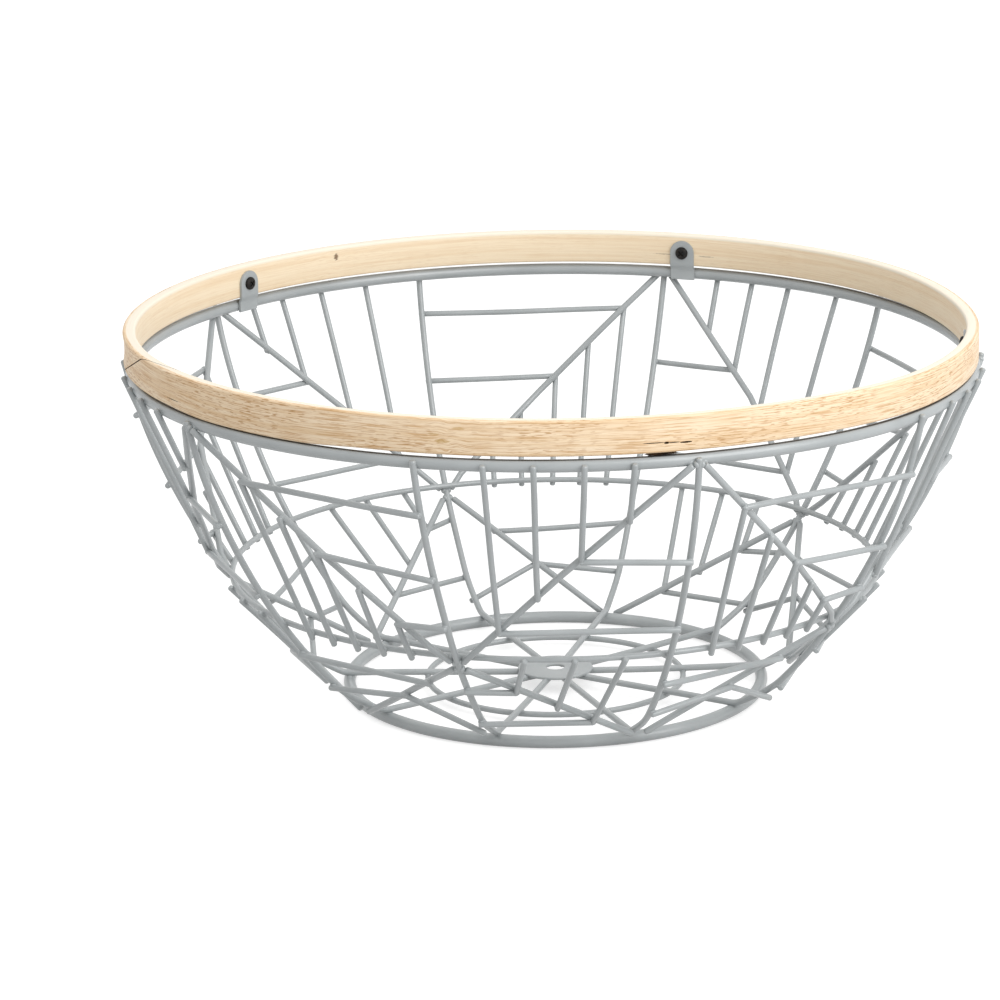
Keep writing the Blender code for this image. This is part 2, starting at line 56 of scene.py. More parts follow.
# %% Stock and ring sizes
SECTORS = 5
TURN = 360.0 / SECTORS
RING_ROD = 0.0043
SMALL_ROD = 0.0021
WIRE = 0.0023
FILL_WIRE = 0.0021
SINK = 0.0003

BOWL_HEIGHT = 0.1355
RIM_RADIUS = 0.150
RIM_HEIGHT = 0.0120
RIM_CLEARANCE = 0.0011
RIM_THICKNESS = 0.0045
TOP_RING_RADIUS = 0.14845
TOP_RING_HEIGHT = 0.12025
BOTTOM_RING_RADIUS = 0.0742
BOTTOM_RING_HEIGHT = RING_ROD / 2
BASE_RING_RADIUS = 0.0460
WALL_BULGE = 0.0113
MIDDLE_RING_TRAVEL = 0.583

WIRE_LIFT = RING_ROD / 2 + WIRE / 2 - SINK
RING_FILL_LIFT = RING_ROD / 2 + FILL_WIRE / 2 - SINK
MIDDLE_RING_LIFT = WIRE_LIFT - WIRE / 2 - SMALL_ROD / 2 + SINK
MIDDLE_FILL_LIFT = MIDDLE_RING_LIFT + SMALL_ROD / 2 + FILL_WIRE / 2 - SINK
OVER_LIFT = WIRE_LIFT + WIRE / 2 + FILL_WIRE / 2 - SINK
SPOKE_HEIGHT = BOTTOM_RING_HEIGHT + RING_ROD / 2 + WIRE / 2 - SINK
SPOKE_INNER_RADIUS = 0.0080
BASE_DISH = 0.0011

# %% [markdown]
# ## The wall's rule
# The cage has no surface, but all of its wires lie close to one: a bowl whose section is a single
# arc from the top ring to the bottom ring. A place on it is given by an azimuth in degrees (0 is
# the front, + goes to the right) and a travel (0 at the top ring, 1 at the bottom ring). With that
# rule a wire is two places and a straight line, and nothing has to be placed by eye.

# %% The wall as a function
WALL_RUN = TOP_RING_RADIUS - BOTTOM_RING_RADIUS
WALL_DROP = TOP_RING_HEIGHT - BOTTOM_RING_HEIGHT
WALL_CHORD = math.hypot(WALL_RUN, WALL_DROP)
WALL_ARC_RADIUS = (WALL_CHORD**2 / 4 + WALL_BULGE**2) / (2 * WALL_BULGE)
WALL_HALF_ANGLE = math.asin(WALL_CHORD / 2 / WALL_ARC_RADIUS)
WALL_TOP_LEAN = math.atan2(WALL_RUN, WALL_DROP) - WALL_HALF_ANGLE
TWIST = 1.8


def polar(azimuth, radius, height):
    angle = math.radians(azimuth)
    return Vector((radius * math.sin(angle), -radius * math.cos(angle), height))


def wall_section(travel, lift):
    """Radius and height at a travel, a distance outside the rings' centre lines."""
    lean = WALL_TOP_LEAN + 2 * WALL_HALF_ANGLE * travel
    radius = TOP_RING_RADIUS - WALL_ARC_RADIUS * (math.cos(WALL_TOP_LEAN) - math.cos(lean))
    height = TOP_RING_HEIGHT - WALL_ARC_RADIUS * (math.sin(lean) - math.sin(WALL_TOP_LEAN))
    return radius + lift * math.cos(lean), height - lift * math.sin(lean)


def wall_point(azimuth, travel, lift):
    radius, height = wall_section(travel, lift)
    return polar(azimuth + TWIST * travel, radius, height)


def wall_lean(height):
    return math.asin(math.sin(WALL_TOP_LEAN) + (TOP_RING_HEIGHT - height) / WALL_ARC_RADIUS)


def travel_of(point):
    return (wall_lean(point.z) - WALL_TOP_LEAN) / (2 * WALL_HALF_ANGLE)


def outside_of(point, distance):
    """The point moved outwards, square to the wall."""
    lean = wall_lean(point.z)
    outwards = Vector((point.x, point.y, 0)).normalized() * math.cos(lean)
    return point + (outwards - Vector((0, 0, math.sin(lean)))) * distance


middle_radius, middle_height = wall_section(MIDDLE_RING_TRAVEL, MIDDLE_RING_LIFT)
print("middle ring radius:", round(middle_radius, 4))

# %% [markdown]
# ## Plain meshes in and out
# Modifiers and Booleans work on an object in the scene, but a finished piece is a plain mesh. So
# one helper puts a mesh into the scene, and another takes off what the modifiers made of it.

# %% Helpers for objects and meshes


def linked(name, data):
    """An object in the scene."""
    item = bpy.data.objects.new(name, data)
    bpy.context.scene.collection.objects.link(item)
    return item


def taken_off(item, *helpers):
    """What the object's modifiers make, as a plain mesh; the object and its helpers go."""
    graph = bpy.context.evaluated_depsgraph_get()
    mesh = bpy.data.meshes.new_from_object(item.evaluated_get(graph))
    mesh.name = item.name
    for used in (item, *helpers):
        bpy.data.objects.remove(used)
    return mesh


def carved(name, body_mesh, tool_meshes, material_mode="INDEX"):
    """A mesh with other meshes taken out of it by exact Booleans."""
    body = linked(name, body_mesh)
    tools = [linked(f"{name}_tool_{index}", mesh) for index, mesh in enumerate(tool_meshes)]
    for tool in tools:
        cut = body.modifiers.new(tool.name, "BOOLEAN")
        cut.operation = "DIFFERENCE"
        cut.solver = "EXACT"
        cut.material_mode = material_mode
        cut.object = tool
    return taken_off(body, *tools)


def written(shape, name):
    """The bmesh as a mesh of its own."""
    mesh = bpy.data.meshes.new(name)
    shape.to_mesh(mesh)
    shape.free()
    return mesh


def smooth_to(mesh, degrees):
    """Smooth shading; edges that turn by more than so many degrees stay crisp."""
    mesh.shade_smooth()
    mesh.set_sharp_from_angle(angle=math.radians(degrees))


print("mesh helpers ready")

# %% [markdown]
# ## Nodes that build shapes
# Every wire is the same job: a path, a round section, closed ends. Geometry Nodes do that well,
# because one tree serves every wire and its sizes stay as named inputs. Small helpers keep the
# trees readable: one starts a tree with its inputs, one adds a node with its links, one ends a tree
# with real, painted geometry, and the last one runs it.

# %% Helpers for Geometry Nodes
SOCKETS = {float: "NodeSocketFloat", int: "NodeSocketInt", None: "NodeSocketMaterial"}


def start_tree(name, inputs):
    """A tree with a geometry input and one input for each (label, type)."""
    tree = bpy.data.node_groups.new(name, "GeometryNodeTree")
    face = tree.interface
    face.new_socket("Geometry", in_out="INPUT", socket_type="NodeSocketGeometry")
    for label, kind in inputs:
        face.new_socket(label, in_out="INPUT", socket_type=SOCKETS[kind])
    face.new_socket("Geometry", in_out="OUTPUT", socket_type="NodeSocketGeometry")
    return tree, tree.nodes.new("NodeGroupInput").outputs


def add_node(tree, kind, links=None, **settings):
    """A node; links gives an input a socket, a node's first output, or a value."""
    node = tree.nodes.new(kind)
    for key, value in settings.items():
        setattr(node, key, value)
    for target, source in (links or {}).items():
        if isinstance(source, bpy.types.Node):
            source = source.outputs[0]
        if isinstance(source, bpy.types.NodeSocket):
            tree.links.new(source, node.inputs[target])
        else:
            node.inputs[target].default_value = source
    return node


def end_tree(tree, geometry, finish, smooth=True):
    """Instances made real, smooth shading, and the material."""
    real = add_node(tree, "GeometryNodeRealizeInstances", {0: geometry})
    if smooth:
        real = add_node(tree, "GeometryNodeSetShadeSmooth", {0: real})
    painted = add_node(tree, "GeometryNodeSetMaterial", {"Geometry": real, "Material": finish})
    add_node(tree, "NodeGroupOutput", {0: painted})


def run_tree(tree, start, name, **inputs):
    """What the tree makes of a start mesh with these inputs, as a plain mesh."""
    maker = linked(name, start)
    modifier = maker.modifiers.new("maker", "NODES")
    modifier.node_group = tree
    for item in tree.interface.items_tree:
        key = item.name.lower().replace(" ", "_")
        if item.in_out == "INPUT" and key in inputs:
            modifier[item.identifier] = inputs[key]
    return taken_off(maker)


print("tree helpers ready")

# %% [markdown]
# ## What every piece gets
# A finished piece rides on the bowl's one body and stands for the CAD nodes that it dresses. All of
# them also get the same small sag: hand-made, the real bowl lies nearly a millimetre low on its
# right. One smooth rule for all pieces keeps those that touch together.

# %% Settle a mesh and make it a piece
RIM_SAG = 0.0009
SAG_SPAN = (20, 60, 95, 135)
SAG_FOOT = 0.040


def clamped(share):
    return max(0.0, min(1.0, share))


def eased(share):
    """A share from 0 to 1 with a soft start and end."""
    return share * share * (3 - 2 * share)


def hump(value, rise, top, fall, end):
    """0 up to rise, 1 from top to fall, 0 again from end, smooth between."""
    return eased(clamped(min((value - rise) / (top - rise), (end - value) / (end - fall))))


def settle(mesh):
    """Lowers the right side of whatever stands high in the bowl, as it lies in the real one."""
    for vert in mesh.vertices:
        azimuth = math.degrees(math.atan2(vert.co.x, -vert.co.y))
        share = clamped((vert.co.z - SAG_FOOT) / (TOP_RING_HEIGHT - SAG_FOOT))
        vert.co.z -= RIM_SAG * share * hump(azimuth, *SAG_SPAN)


def add_piece(name, mesh, nodes):
    """A finished piece: it rides on the one body and stands for these CAD nodes."""
    settle(mesh)
    piece = linked(name, mesh)
    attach(piece, "root")
    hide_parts(*nodes)


print("sag at the right:", round(RIM_SAG * hump(80, *SAG_SPAN) * 1000, 2), "mm")

# %% [markdown]
# ## Grey powder coat
# The wires are dusted with paint powder and baked. The film is a cool light grey, about as glossy
# as an eggshell, and on a thin wire it stays very slightly wavy, like orange peel. A Principled
# BSDF with a soft noise in its roughness and a fine one in its bump gives that. On the ring below
# the hoop, a near-black painted shade lies along the top at the front and the right: the hoop's
# shadow in the narrow slit.

# %% Helpers for materials


def start_material(name, specular=0.5, roughness=0.5):
    """A material with a Principled BSDF."""
    material = bpy.data.materials.new(name)
    material.use_nodes = True
    shader = material.node_tree.nodes["Principled BSDF"]
    shader.inputs["Specular IOR Level"].default_value = specular
    shader.inputs["Roughness"].default_value = roughness
    return material, material.node_tree, shader


def object_noise(tree, scale, detail):
    """A noise that sits still in the piece's own space."""
    place = add_node(tree, "ShaderNodeTexCoord").outputs["Object"]
    links = {"Vector": place, "Scale": scale, "Detail": detail}
    return add_node(tree, "ShaderNodeTexNoise", links).outputs[0]


def colour_ramp(tree, source, stops):
    node = add_node(tree, "ShaderNodeValToRGB", {0: source})
    for element, (place, colour) in zip(node.color_ramp.elements, stops):
        element.position = place
        element.color = (*colour, 1.0)
    return node.outputs[0]


def spread(tree, source, low, high):
    """A 0 to 1 value spread over another range."""
    links = {"Value": source, "To Min": low, "To Max": high}
    return add_node(tree, "ShaderNodeMapRange", links).outputs[0]


def ramp(tree, source, low, high):
    """0 below low, 1 above high, smooth between."""
    links = {"Value": source, "From Min": low, "From Max": high}
    return add_node(tree, "ShaderNodeMapRange", links, interpolation_type="SMOOTHSTEP").outputs[0]


def math_node(tree, operation, first, second=0.0, clamp=False):
    links = {0: first, 1: second}
    return add_node(tree, "ShaderNodeMath", links, operation=operation, use_clamp=clamp).outputs[0]


def times(tree, first, *others):
    for other in others:
        first = math_node(tree, "MULTIPLY", first, other)
    return first


def plus(tree, first, second):
    return math_node(tree, "ADD", first, second)


def mixed(tree, share, *colours):
    """A colour between two others; each is a socket or a plain (r, g, b)."""
    links = {0: share}
    for target, colour in zip((6, 7), colours):
        links[target] = colour if isinstance(colour, bpy.types.NodeSocket) else (*colour, 1.0)
    return add_node(tree, "ShaderNodeMix", links, data_type="RGBA").outputs[2]


def add_bump(tree, shader, height, distance, strength):
    links = {"Height": height, "Distance": distance, "Strength": strength}
    tree.links.new(add_node(tree, "ShaderNodeBump", links).outputs[0], shader.inputs["Normal"])


print("shader helpers ready")

# %% Powder coat material
COAT_TONES = ((0.3, (0.355, 0.380, 0.386)), (0.7, (0.41, 0.436, 0.442)))
COAT_SPECULAR = 0.85
COAT_ROUGHNESS = (0.26, 0.38)
DRIFT_NOISE = (60.0, 3.0)
PEEL_NOISE = (900.0, 2.0)
PEEL_BUMP = (0.0001, 0.35)
# Painted shade on the top ring's upper side at the front and right, where the hoop's shadow lies.
PAINTED_SHADE = (0.035, 0.028, 0.024)
PAINTED_SHADE_SHARE = 0.92
PAINTED_SHADE_SIDE = (0.6, -0.8, 0.0)
PAINTED_SHADE_REACH = (-0.090, -0.020)
PAINTED_SHADE_FACING = (0.86, 0.95)


def painted_shade_on_top(tree):
    """How much painted shade a place gets: on faces that look up, at the front and the right."""
    facing = add_node(tree, "ShaderNodeNewGeometry").outputs["Normal"]
    upward = add_node(tree, "ShaderNodeSeparateXYZ", {0: facing}).outputs[2]
    place = add_node(tree, "ShaderNodeTexCoord").outputs["Object"]
    links = {0: place, 1: PAINTED_SHADE_SIDE}
    heading = add_node(tree, "ShaderNodeVectorMath", links, operation="DOT_PRODUCT")
    reach = ramp(tree, heading.outputs["Value"], *PAINTED_SHADE_REACH)
    return times(tree, ramp(tree, upward, *PAINTED_SHADE_FACING), reach)


def powder_coat_material(name, shade_share=0.0):
    """Grey powder coat, with a painted shade over so much of its upward faces."""
    material, tree, shader = start_material(name, specular=COAT_SPECULAR)
    tone = colour_ramp(tree, object_noise(tree, *DRIFT_NOISE), COAT_TONES)
    if shade_share:
        tone = mixed(tree, times(tree, painted_shade_on_top(tree), shade_share), tone, PAINTED_SHADE)
    peel = object_noise(tree, *PEEL_NOISE)
    tree.links.new(tone, shader.inputs["Base Color"])
    tree.links.new(spread(tree, peel, *COAT_ROUGHNESS), shader.inputs["Roughness"])
    add_bump(tree, shader, peel, *PEEL_BUMP)
    return material


powder_coat = powder_coat_material("grey_powder_coat")
# A second coat has the painted shade of the hoop's shadow over its upward faces.
coat_with_painted_shade = powder_coat_material("dusty_powder_coat", PAINTED_SHADE_SHARE)
print("made", powder_coat.name, "and", coat_with_painted_shade.name)

# %% [markdown]
# ## The four rings
# A ring is the simplest path there is, so its tree needs only a Curve Circle, a round profile and
# Curve to Mesh. Its radius, its height and the thickness of its rod are the tree's inputs. The tree
# ends in Realize Instances and Set Material, so that what comes out is a plain mesh.

# %% Tree for a ring
RING_STEPS = 240
ROD_SIDES = 20
CIRCLE = "GeometryNodeCurvePrimitiveCircle"

ring_inputs = (("Ring Radius", float), ("Rod Radius", float), ("Height", float), ("Paint", None))
ring_tree, given = start_tree("bent_ring", ring_inputs)
circle = add_node(ring_tree, CIRCLE, {"Resolution": RING_STEPS, "Radius": given["Ring Radius"]})
lift = add_node(ring_tree, "ShaderNodeCombineXYZ", {"Z": given["Height"]})
raised = add_node(ring_tree, "GeometryNodeSetPosition", {"Geometry": circle, "Offset": lift})
profile = add_node(ring_tree, CIRCLE, {"Resolution": ROD_SIDES, "Radius": given["Rod Radius"]})
rod = add_node(ring_tree, "GeometryNodeCurveToMesh", {"Curve": raised, "Profile Curve": profile})
end_tree(ring_tree, rod, given["Paint"])
print("ring tree:", len(ring_tree.nodes), "nodes")

# %% Make the rings


def spoke_height(radius):
    """How high a spoke's centre line lies: it falls a little towards the hub."""
    share = (BOTTOM_RING_RADIUS - radius) / (BOTTOM_RING_RADIUS - SPOKE_INNER_RADIUS)
    return SPOKE_HEIGHT - BASE_DISH * share


base_height = spoke_height(BASE_RING_RADIUS) - WIRE / 2 - SMALL_ROD / 2 + SINK
rings = (
    ("top_ring", TOP_RING_RADIUS, RING_ROD, TOP_RING_HEIGHT),
    ("middle_ring", middle_radius, SMALL_ROD, middle_height),
    ("bottom_ring", BOTTOM_RING_RADIUS, RING_ROD, BOTTOM_RING_HEIGHT),
    ("base_ring", BASE_RING_RADIUS, SMALL_ROD, base_height),
)
for name, radius, rod_size, height in rings:
    # The top ring's coat has the painted shade of the hoop's shadow along its top.
    paint = coat_with_painted_shade if name == "top_ring" else powder_coat
    sizes = {"ring_radius": radius, "rod_radius": rod_size / 2, "height": height, "paint": paint}
    mesh = run_tree(ring_tree, bpy.data.meshes.new("empty"), name + "_rod", **sizes)
    add_piece(name + "_rod", mesh, [name])
    print(name, "faces:", len(mesh.polygons))

# %% [markdown]
# ## One wire's path
# The real wires were cut and welded by hand, so they are straight between two welds and a little
# uneven. Each one is described by the two or three places that it runs between. A wire starts and
# ends a little past its weld, and the paint rounds its cut ends.

# %% Paths of straight wires
FLUSH_END = 0.0006
OVERHANG = 0.0016
WELD_SINK = 0.0005
WIRE_SPACING = 0.0020
CUT_ROUNDS = 2
CUT_SHARE = 0.25


def point_at(points, azimuth):
    """Where a wire of straight stretches crosses the upright plane through the axis."""
    across = polar(azimuth + 90, 1, 0)
    for start, end in zip(points, points[1:]):
        if across.dot(start) * across.dot(end) <= 0:
            break
    return start - (end - start) * across.dot(start) / across.dot(end - start)


def wire_past(start, over, past):
    """A straight wire that starts flush with a weld and runs so far past another point."""
    along = (over - start).normalized()
    return [start - along * FLUSH_END, over + along * past]


def weld_point(wire, azimuth):
    """The centre of a short wire's end where it is welded to the outside of another."""
    return outside_of(point_at(wire, azimuth), (WIRE + FILL_WIRE) / 2 - WELD_SINK)


def level_wire(start, azimuth, rise):
    """A wire from a weld out past the upright at an azimuth, so much further up."""
    over = wall_point(azimuth, travel_of(start) - rise, OVER_LIFT)
    return wire_past(start, over, WIRE / 4), FILL_WIRE


def side_turn(travel, reach):
    return math.degrees(reach / wall_section(travel, WIRE_LIFT)[0])


def ease_corners(points):
    """Cuts a path's corners again and again, which turns a bend into a curve."""
    for _ in range(CUT_ROUNDS):
        cut = [points[0]]
        for start, end in zip(points, points[1:]):
            cut += [start.lerp(end, CUT_SHARE), start.lerp(end, 1 - CUT_SHARE)]
        points = cut + [points[-1]]
    return points


print("a level wire's centre runs", round(OVER_LIFT * 1000, 2), "mm outside the rings' centres")

# %% [markdown]
# ## The pattern
# The cage repeats five times round. Each sector has a node, where wires fan out from the top ring,
# and an apex, where they gather under the middle ring. Two uprights mark them. Long diagonals join
# node and apex on both sides, and short wires hatch the panels between. Nobody measured the places
# on the real bowl: at its back, nodes and short wires stand up to 3 degrees off an even spacing.

# %% Where nodes and apexes stand
NODE_AZIMUTH = 18.1
APEX_TURN = 36.5
NODE_SLIPS = {2: 1.2, 3: 1.7}
APEX_SLIPS = {1: -0.5, 2: 1.1}


def node_azimuth(sector):
    return NODE_AZIMUTH + TURN * sector + NODE_SLIPS.get(sector % SECTORS, 0.0)


def apex_azimuth(sector):
    return NODE_AZIMUTH + APEX_TURN + TURN * sector + APEX_SLIPS.get(sector % SECTORS, 0.0)


print("nodes stand at", [round(node_azimuth(sector), 1) for sector in range(SECTORS)])

# %% [markdown]
# ## Uprights and diagonals
# An upright is the longest wire: it follows the wall down, turns round the bottom ring's shoulder
# and runs in to the hub as a spoke. Its path is a dozen places on the wall and a few round the
# shoulder, and cutting the corners twice makes a fair curve of them. A diagonal is straight, but
# an upper one was bent by hand and sags a little inwards and down, so it gets a place half way.

# %% Uprights and diagonals
UPRIGHT_STEPS = 11
UPRIGHT_TOP_TRAVEL = -0.014
UPRIGHT_TRAVEL = 0.874
SHOULDER = ((0.0036, 0.0008), (0.0008, 0.0), (-0.0020, 0.0))
DIAGONAL_TOP_TRAVEL = 0.004
CROSSING_TRAVEL = 0.606
DIAGONAL_BOTTOM_TRAVEL = 0.925
LOW_SLIPS = {2: 0.045, 3: 0.037}
BEND_TURN = 3.5
RIGHT_SAG = 0.0035
RIGHT_DROPS = {0: 0.0050, 2: 0.0050}
LEFT_SAG = 0.0060
LEFT_DROP = 0.0030


def upright(azimuth):
    """Down the wall, round the bottom ring's shoulder and in to the hub as a spoke."""
    points = []
    for step in range(UPRIGHT_STEPS + 1):
        travel = UPRIGHT_TOP_TRAVEL + UPRIGHT_TRAVEL * step / UPRIGHT_STEPS
        points.append(wall_point(azimuth, travel, WIRE_LIFT))
    for out, up in SHOULDER:
        points.append(polar(azimuth + TWIST, BOTTOM_RING_RADIUS + out, SPOKE_HEIGHT + up))
    hub = polar(azimuth + TWIST, SPOKE_INNER_RADIUS, SPOKE_HEIGHT - BASE_DISH)
    return [(ease_corners(points) + [hub], WIRE)]


def upper_diagonal(sector, hand):
    """From the node under the top ring to the apex: right of the node for hand 1, left for -1."""
    apex = apex_azimuth(sector if hand > 0 else sector - 1)
    reach = hand * (apex - node_azimuth(sector))
    sag, drop = (RIGHT_SAG, RIGHT_DROPS.get(sector, 0)) if hand > 0 else (LEFT_SAG, LEFT_DROP)
    top_turn = reach - side_turn(DIAGONAL_TOP_TRAVEL, WIRE_SPACING)
    turns = (top_turn, reach / 2, BEND_TURN, side_turn(CROSSING_TRAVEL, WIRE_SPACING))
    slope = (CROSSING_TRAVEL - DIAGONAL_TOP_TRAVEL) / top_turn
    points = []
    for turn in turns:
        points.append(wall_point(apex - hand * turn, CROSSING_TRAVEL - slope * turn, WIRE_LIFT))
    points[1] = outside_of(points[1], -sag) - Vector((0, 0, drop))
    return points


def lower_diagonal(sector, hand):
    """From the apex down to the node's upright: right of the apex for hand 1, left for -1."""
    node, apex = node_azimuth(sector), apex_azimuth(sector if hand < 0 else sector - 1)
    end_travel = DIAGONAL_BOTTOM_TRAVEL + LOW_SLIPS.get(sector, 0)
    top_turn = hand * side_turn(CROSSING_TRAVEL, WIRE_SPACING)
    end_turn = hand * side_turn(end_travel, WIRE_SPACING)
    slope = (end_travel - CROSSING_TRAVEL) / abs(node - apex)
    start = wall_point(apex + top_turn, CROSSING_TRAVEL + slope * abs(top_turn), WIRE_LIFT)
    return [start, wall_point(node - end_turn, end_travel, WIRE_LIFT)]


length = (upper_diagonal(0, 1)[0] - upper_diagonal(0, 1)[-1]).length
print("a diagonal is", round(length * 1000), "mm long")

# %% [markdown]
# ## Panels of short wires
# Each diagonal carries a panel: short wires from welds on it to the nearest ring, and level wires
# from some of those welds to an upright. The three hatched panels differ only in their places, so
# one function makes them all. Slips are what a sector's wires stand off the even spacing.

# %% Panels of short wires
RIBS = 5
FIRST_RIB_TURN = 7.6
RIB_PITCH = 5.35
RIB_LEAN = -0.15
RIB_SLIPS = {2: (-1.9, -2.0, -2.1, -1.5, -1.5)}
RIB_LEVEL_RISES = {0: 0.006, 2: -0.010, 4: 0.028}
RIB_LEVEL_CHANGES = {2: {2: 0.015}}
PILLARS = 4
FIRST_PILLAR_TURN = 8.7
PILLAR_PITCH = 6.2
PILLAR_SLIPS = {2: (-0.3, 2.3, 2.2, 1.6), 3: (-0.1, 1.15, 2.0, 1.55)}
PILLAR_LEVEL_RISES = {0: 0.022, 2: 0.007}
DROPS = 3
FIRST_DROP_TURN = 11.2
DROP_PITCH = 8.35
DROP_LEAN = 1.2
DROP_LEAN_STEP = 0.6
DROP_SLIPS = {3: -2.6}
DROP_LEVEL_RISES = {0: 0.040, 2: 0.035}
SHORT_BRACE_TURN = 6.7
SHORT_BRACE_RISE = 0.045
LONG_BRACE_TURN = 15.2
LONG_BRACE_RISE = -0.080


def hatched(diagonal, places, rises, upright_at):
    """A diagonal, a short wire for each (weld's azimuth, far place), and the level wires."""
    wires = [(diagonal, WIRE)]
    for number, (azimuth, over) in enumerate(places):
        weld = weld_point(diagonal, azimuth)
        wires.append((wire_past(weld, over, OVERHANG), FILL_WIRE))
        if number in rises:
            wires.append(level_wire(weld, upright_at, rises[number]))
    return wires


def right_leaf(sector):
    """The upper right diagonal, five ribs down past the middle ring, and three level wires."""
    places = []
    for rib, slip in enumerate(RIB_SLIPS.get(sector, (0,) * RIBS)):
        azimuth = node_azimuth(sector) + FIRST_RIB_TURN + RIB_PITCH * rib + slip
        foot = wall_point(azimuth + RIB_LEAN * rib, MIDDLE_RING_TRAVEL, MIDDLE_FILL_LIFT)
        places.append((azimuth, foot))
    rises = RIB_LEVEL_RISES | RIB_LEVEL_CHANGES.get(sector, {})
    return hatched(upper_diagonal(sector, 1), places, rises, apex_azimuth(sector))


def left_leaf(sector):
    """The upper left diagonal, four pillars up past the top ring, and two level wires."""
    places = []
    for pillar, slip in enumerate(PILLAR_SLIPS.get(sector, (0,) * PILLARS)):
        azimuth = apex_azimuth(sector - 1) + FIRST_PILLAR_TURN + PILLAR_PITCH * pillar + slip
        places.append((azimuth, wall_point(azimuth, 0, RING_FILL_LIFT)))
    return hatched(upper_diagonal(sector, -1), places, PILLAR_LEVEL_RISES, node_azimuth(sector))


def lower_right_leaf(sector):
    """The lower right diagonal, three drops from the middle ring and two level wires."""
    apex = apex_azimuth(sector - 1)
    places = []
    for drop in range(DROPS):
        azimuth = apex + FIRST_DROP_TURN + DROP_PITCH * drop + DROP_SLIPS.get(sector, 0)
        top = wall_point(azimuth, MIDDLE_RING_TRAVEL, MIDDLE_FILL_LIFT)
        places.append((azimuth - DROP_LEAN - DROP_LEAN_STEP * drop, top))
    return hatched(lower_diagonal(sector, 1), places, DROP_LEVEL_RISES, apex)


def lower_left_leaf(sector):
    """The lower left diagonal, two braces past the node's upright and one past the apex's."""
    node, apex = node_azimuth(sector), apex_azimuth(sector)
    diagonal = lower_diagonal(sector, -1)
    short = weld_point(diagonal, apex - SHORT_BRACE_TURN)
    long = weld_point(diagonal, apex - LONG_BRACE_TURN)
    braces = ((short, node, SHORT_BRACE_RISE), (long, node, 0), (long, apex, LONG_BRACE_RISE))
    return [(diagonal, WIRE)] + [level_wire(*brace) for brace in braces]


leaves = (right_leaf, left_leaf, lower_right_leaf, lower_left_leaf)
print("short wires in a sector:", sum(len(leaf(0)) - 1 for leaf in leaves))

# %% Every wire of the cage, under the name of its CAD node
cage = {}
for sector in range(SECTORS):
    cage[f"node_upright_{sector + 1}"] = upright(node_azimuth(sector))
    cage[f"apex_upright_{sector + 1}"] = upright(apex_azimuth(sector))
    for leaf in leaves:
        cage[f"{leaf.__name__}_{sector + 1}"] = leaf(sector)
print("wires:", sum(len(wires) for wires in cage.values()), "in", len(cage), "pieces")

# %% [markdown]
# ## Where the welds are
# A weld sits wherever two wires touch. Instead of listing some three hundred of them, the script
# looks for them: it takes the shortest line between two paths, and where that is no longer than the
# two radii together, a small bead of metal goes in its middle. Rings are circles, so for them the
# nearest point is found along the wire.

# %% Find the welds
TOUCH = 0.0004
FAR_APART = 0.01
SEARCH_STEP = 0.0005


def apart(pair):
    return (pair[0] - pair[1]).length


def on_stretch(start, end, place):
    """The place, brought back between the two ends of a stretch."""
    along = end - start
    return start + along * max(0, min(1, (place - start).dot(along) / along.length_squared))


def nearest_points(first, second):
    """The closest points of two paths, on the first and on the second."""
    pairs = []
    for a, b in zip(first, first[1:]):
        for c, d in zip(second, second[1:]):
            if (a + b - c - d).length > (b - a).length + (d - c).length + FAR_APART:
                continue
            found = intersect_line_line(a, b, c, d)
            if found:
                pairs.append((on_stretch(a, b, found[0]), on_stretch(c, d, found[1])))
    return min(pairs, key=apart, default=None)


def ring_weld(path, radius, height):
    """The closest points of a path and a ring."""
    pairs = []
    for a, b in zip(path, path[1:]):
        steps = max(2, int((b - a).length / SEARCH_STEP))
        for step in range(steps + 1):
            p = a.lerp(b, step / steps)
            pairs.append((p, Vector((p.x, p.y, 0)).normalized() * radius + Vector((0, 0, height))))
    return min(pairs, key=apart)


def weld_between(pair, size, other):
    """Centre, direction and width of the bead, if the two are close enough to touch."""
    if pair is None or apart(pair) > (size + other) / 2 + TOUCH:
        return None
    return (pair[0] + pair[1]) / 2, (pair[0] - pair[1]).normalized(), min(size, other)


welds = {}
earlier = []
for name, wires in cage.items():
    found = []
    for order, (path, size) in enumerate(wires):
        for _, radius, rod_size, height in rings:
            found.append(weld_between(ring_weld(path, radius, height), size, rod_size))
        for other, other_size in wires[:order] + earlier:
            found.append(weld_between(nearest_points(path, other), size, other_size))
    welds[name] = [weld for weld in found if weld]
    earlier += wires
print("welds:", sum(len(found) for found in welds.values()))

# %% [markdown]
# ## From paths to painted wires
# The start mesh holds only edges, the wires' centre lines, and loose points, the welds. The tree
# splits the two again: edges become curves and get a round section of their own radius, and every
# loose point gets a flat bead turned square to its weld. A gentle noise on the position, the same
# for both, bends the wires by a few tenths of a millimetre, as hand welding does.

# %% Tree for welded wires
HALF = (0.5, 0.5, 0.5)
BEND_WAVES = 22.0
BALL_FACES = 2


def stored(tree, name, kind):
    return add_node(tree, "GeometryNodeInputNamedAttribute", {"Name": name}, data_type=kind)


def hand_bent(tree, geometry, amount, seed):
    """The geometry, moved by a slow noise."""
    position = add_node(tree, "GeometryNodeInputPosition")
    links = {"Vector": position, "W": seed, "Scale": BEND_WAVES, "Detail": 0.0}
    noise = add_node(tree, "ShaderNodeTexNoise", links, noise_dimensions="4D")
    links = {0: noise.outputs["Color"], 1: HALF}
    centred = add_node(tree, "ShaderNodeVectorMath", links, operation="SUBTRACT")
    bend = add_node(tree, "ShaderNodeVectorMath", {0: centred, "Scale": amount}, operation="SCALE")
    return add_node(tree, "GeometryNodeSetPosition", {"Geometry": geometry, "Offset": bend})


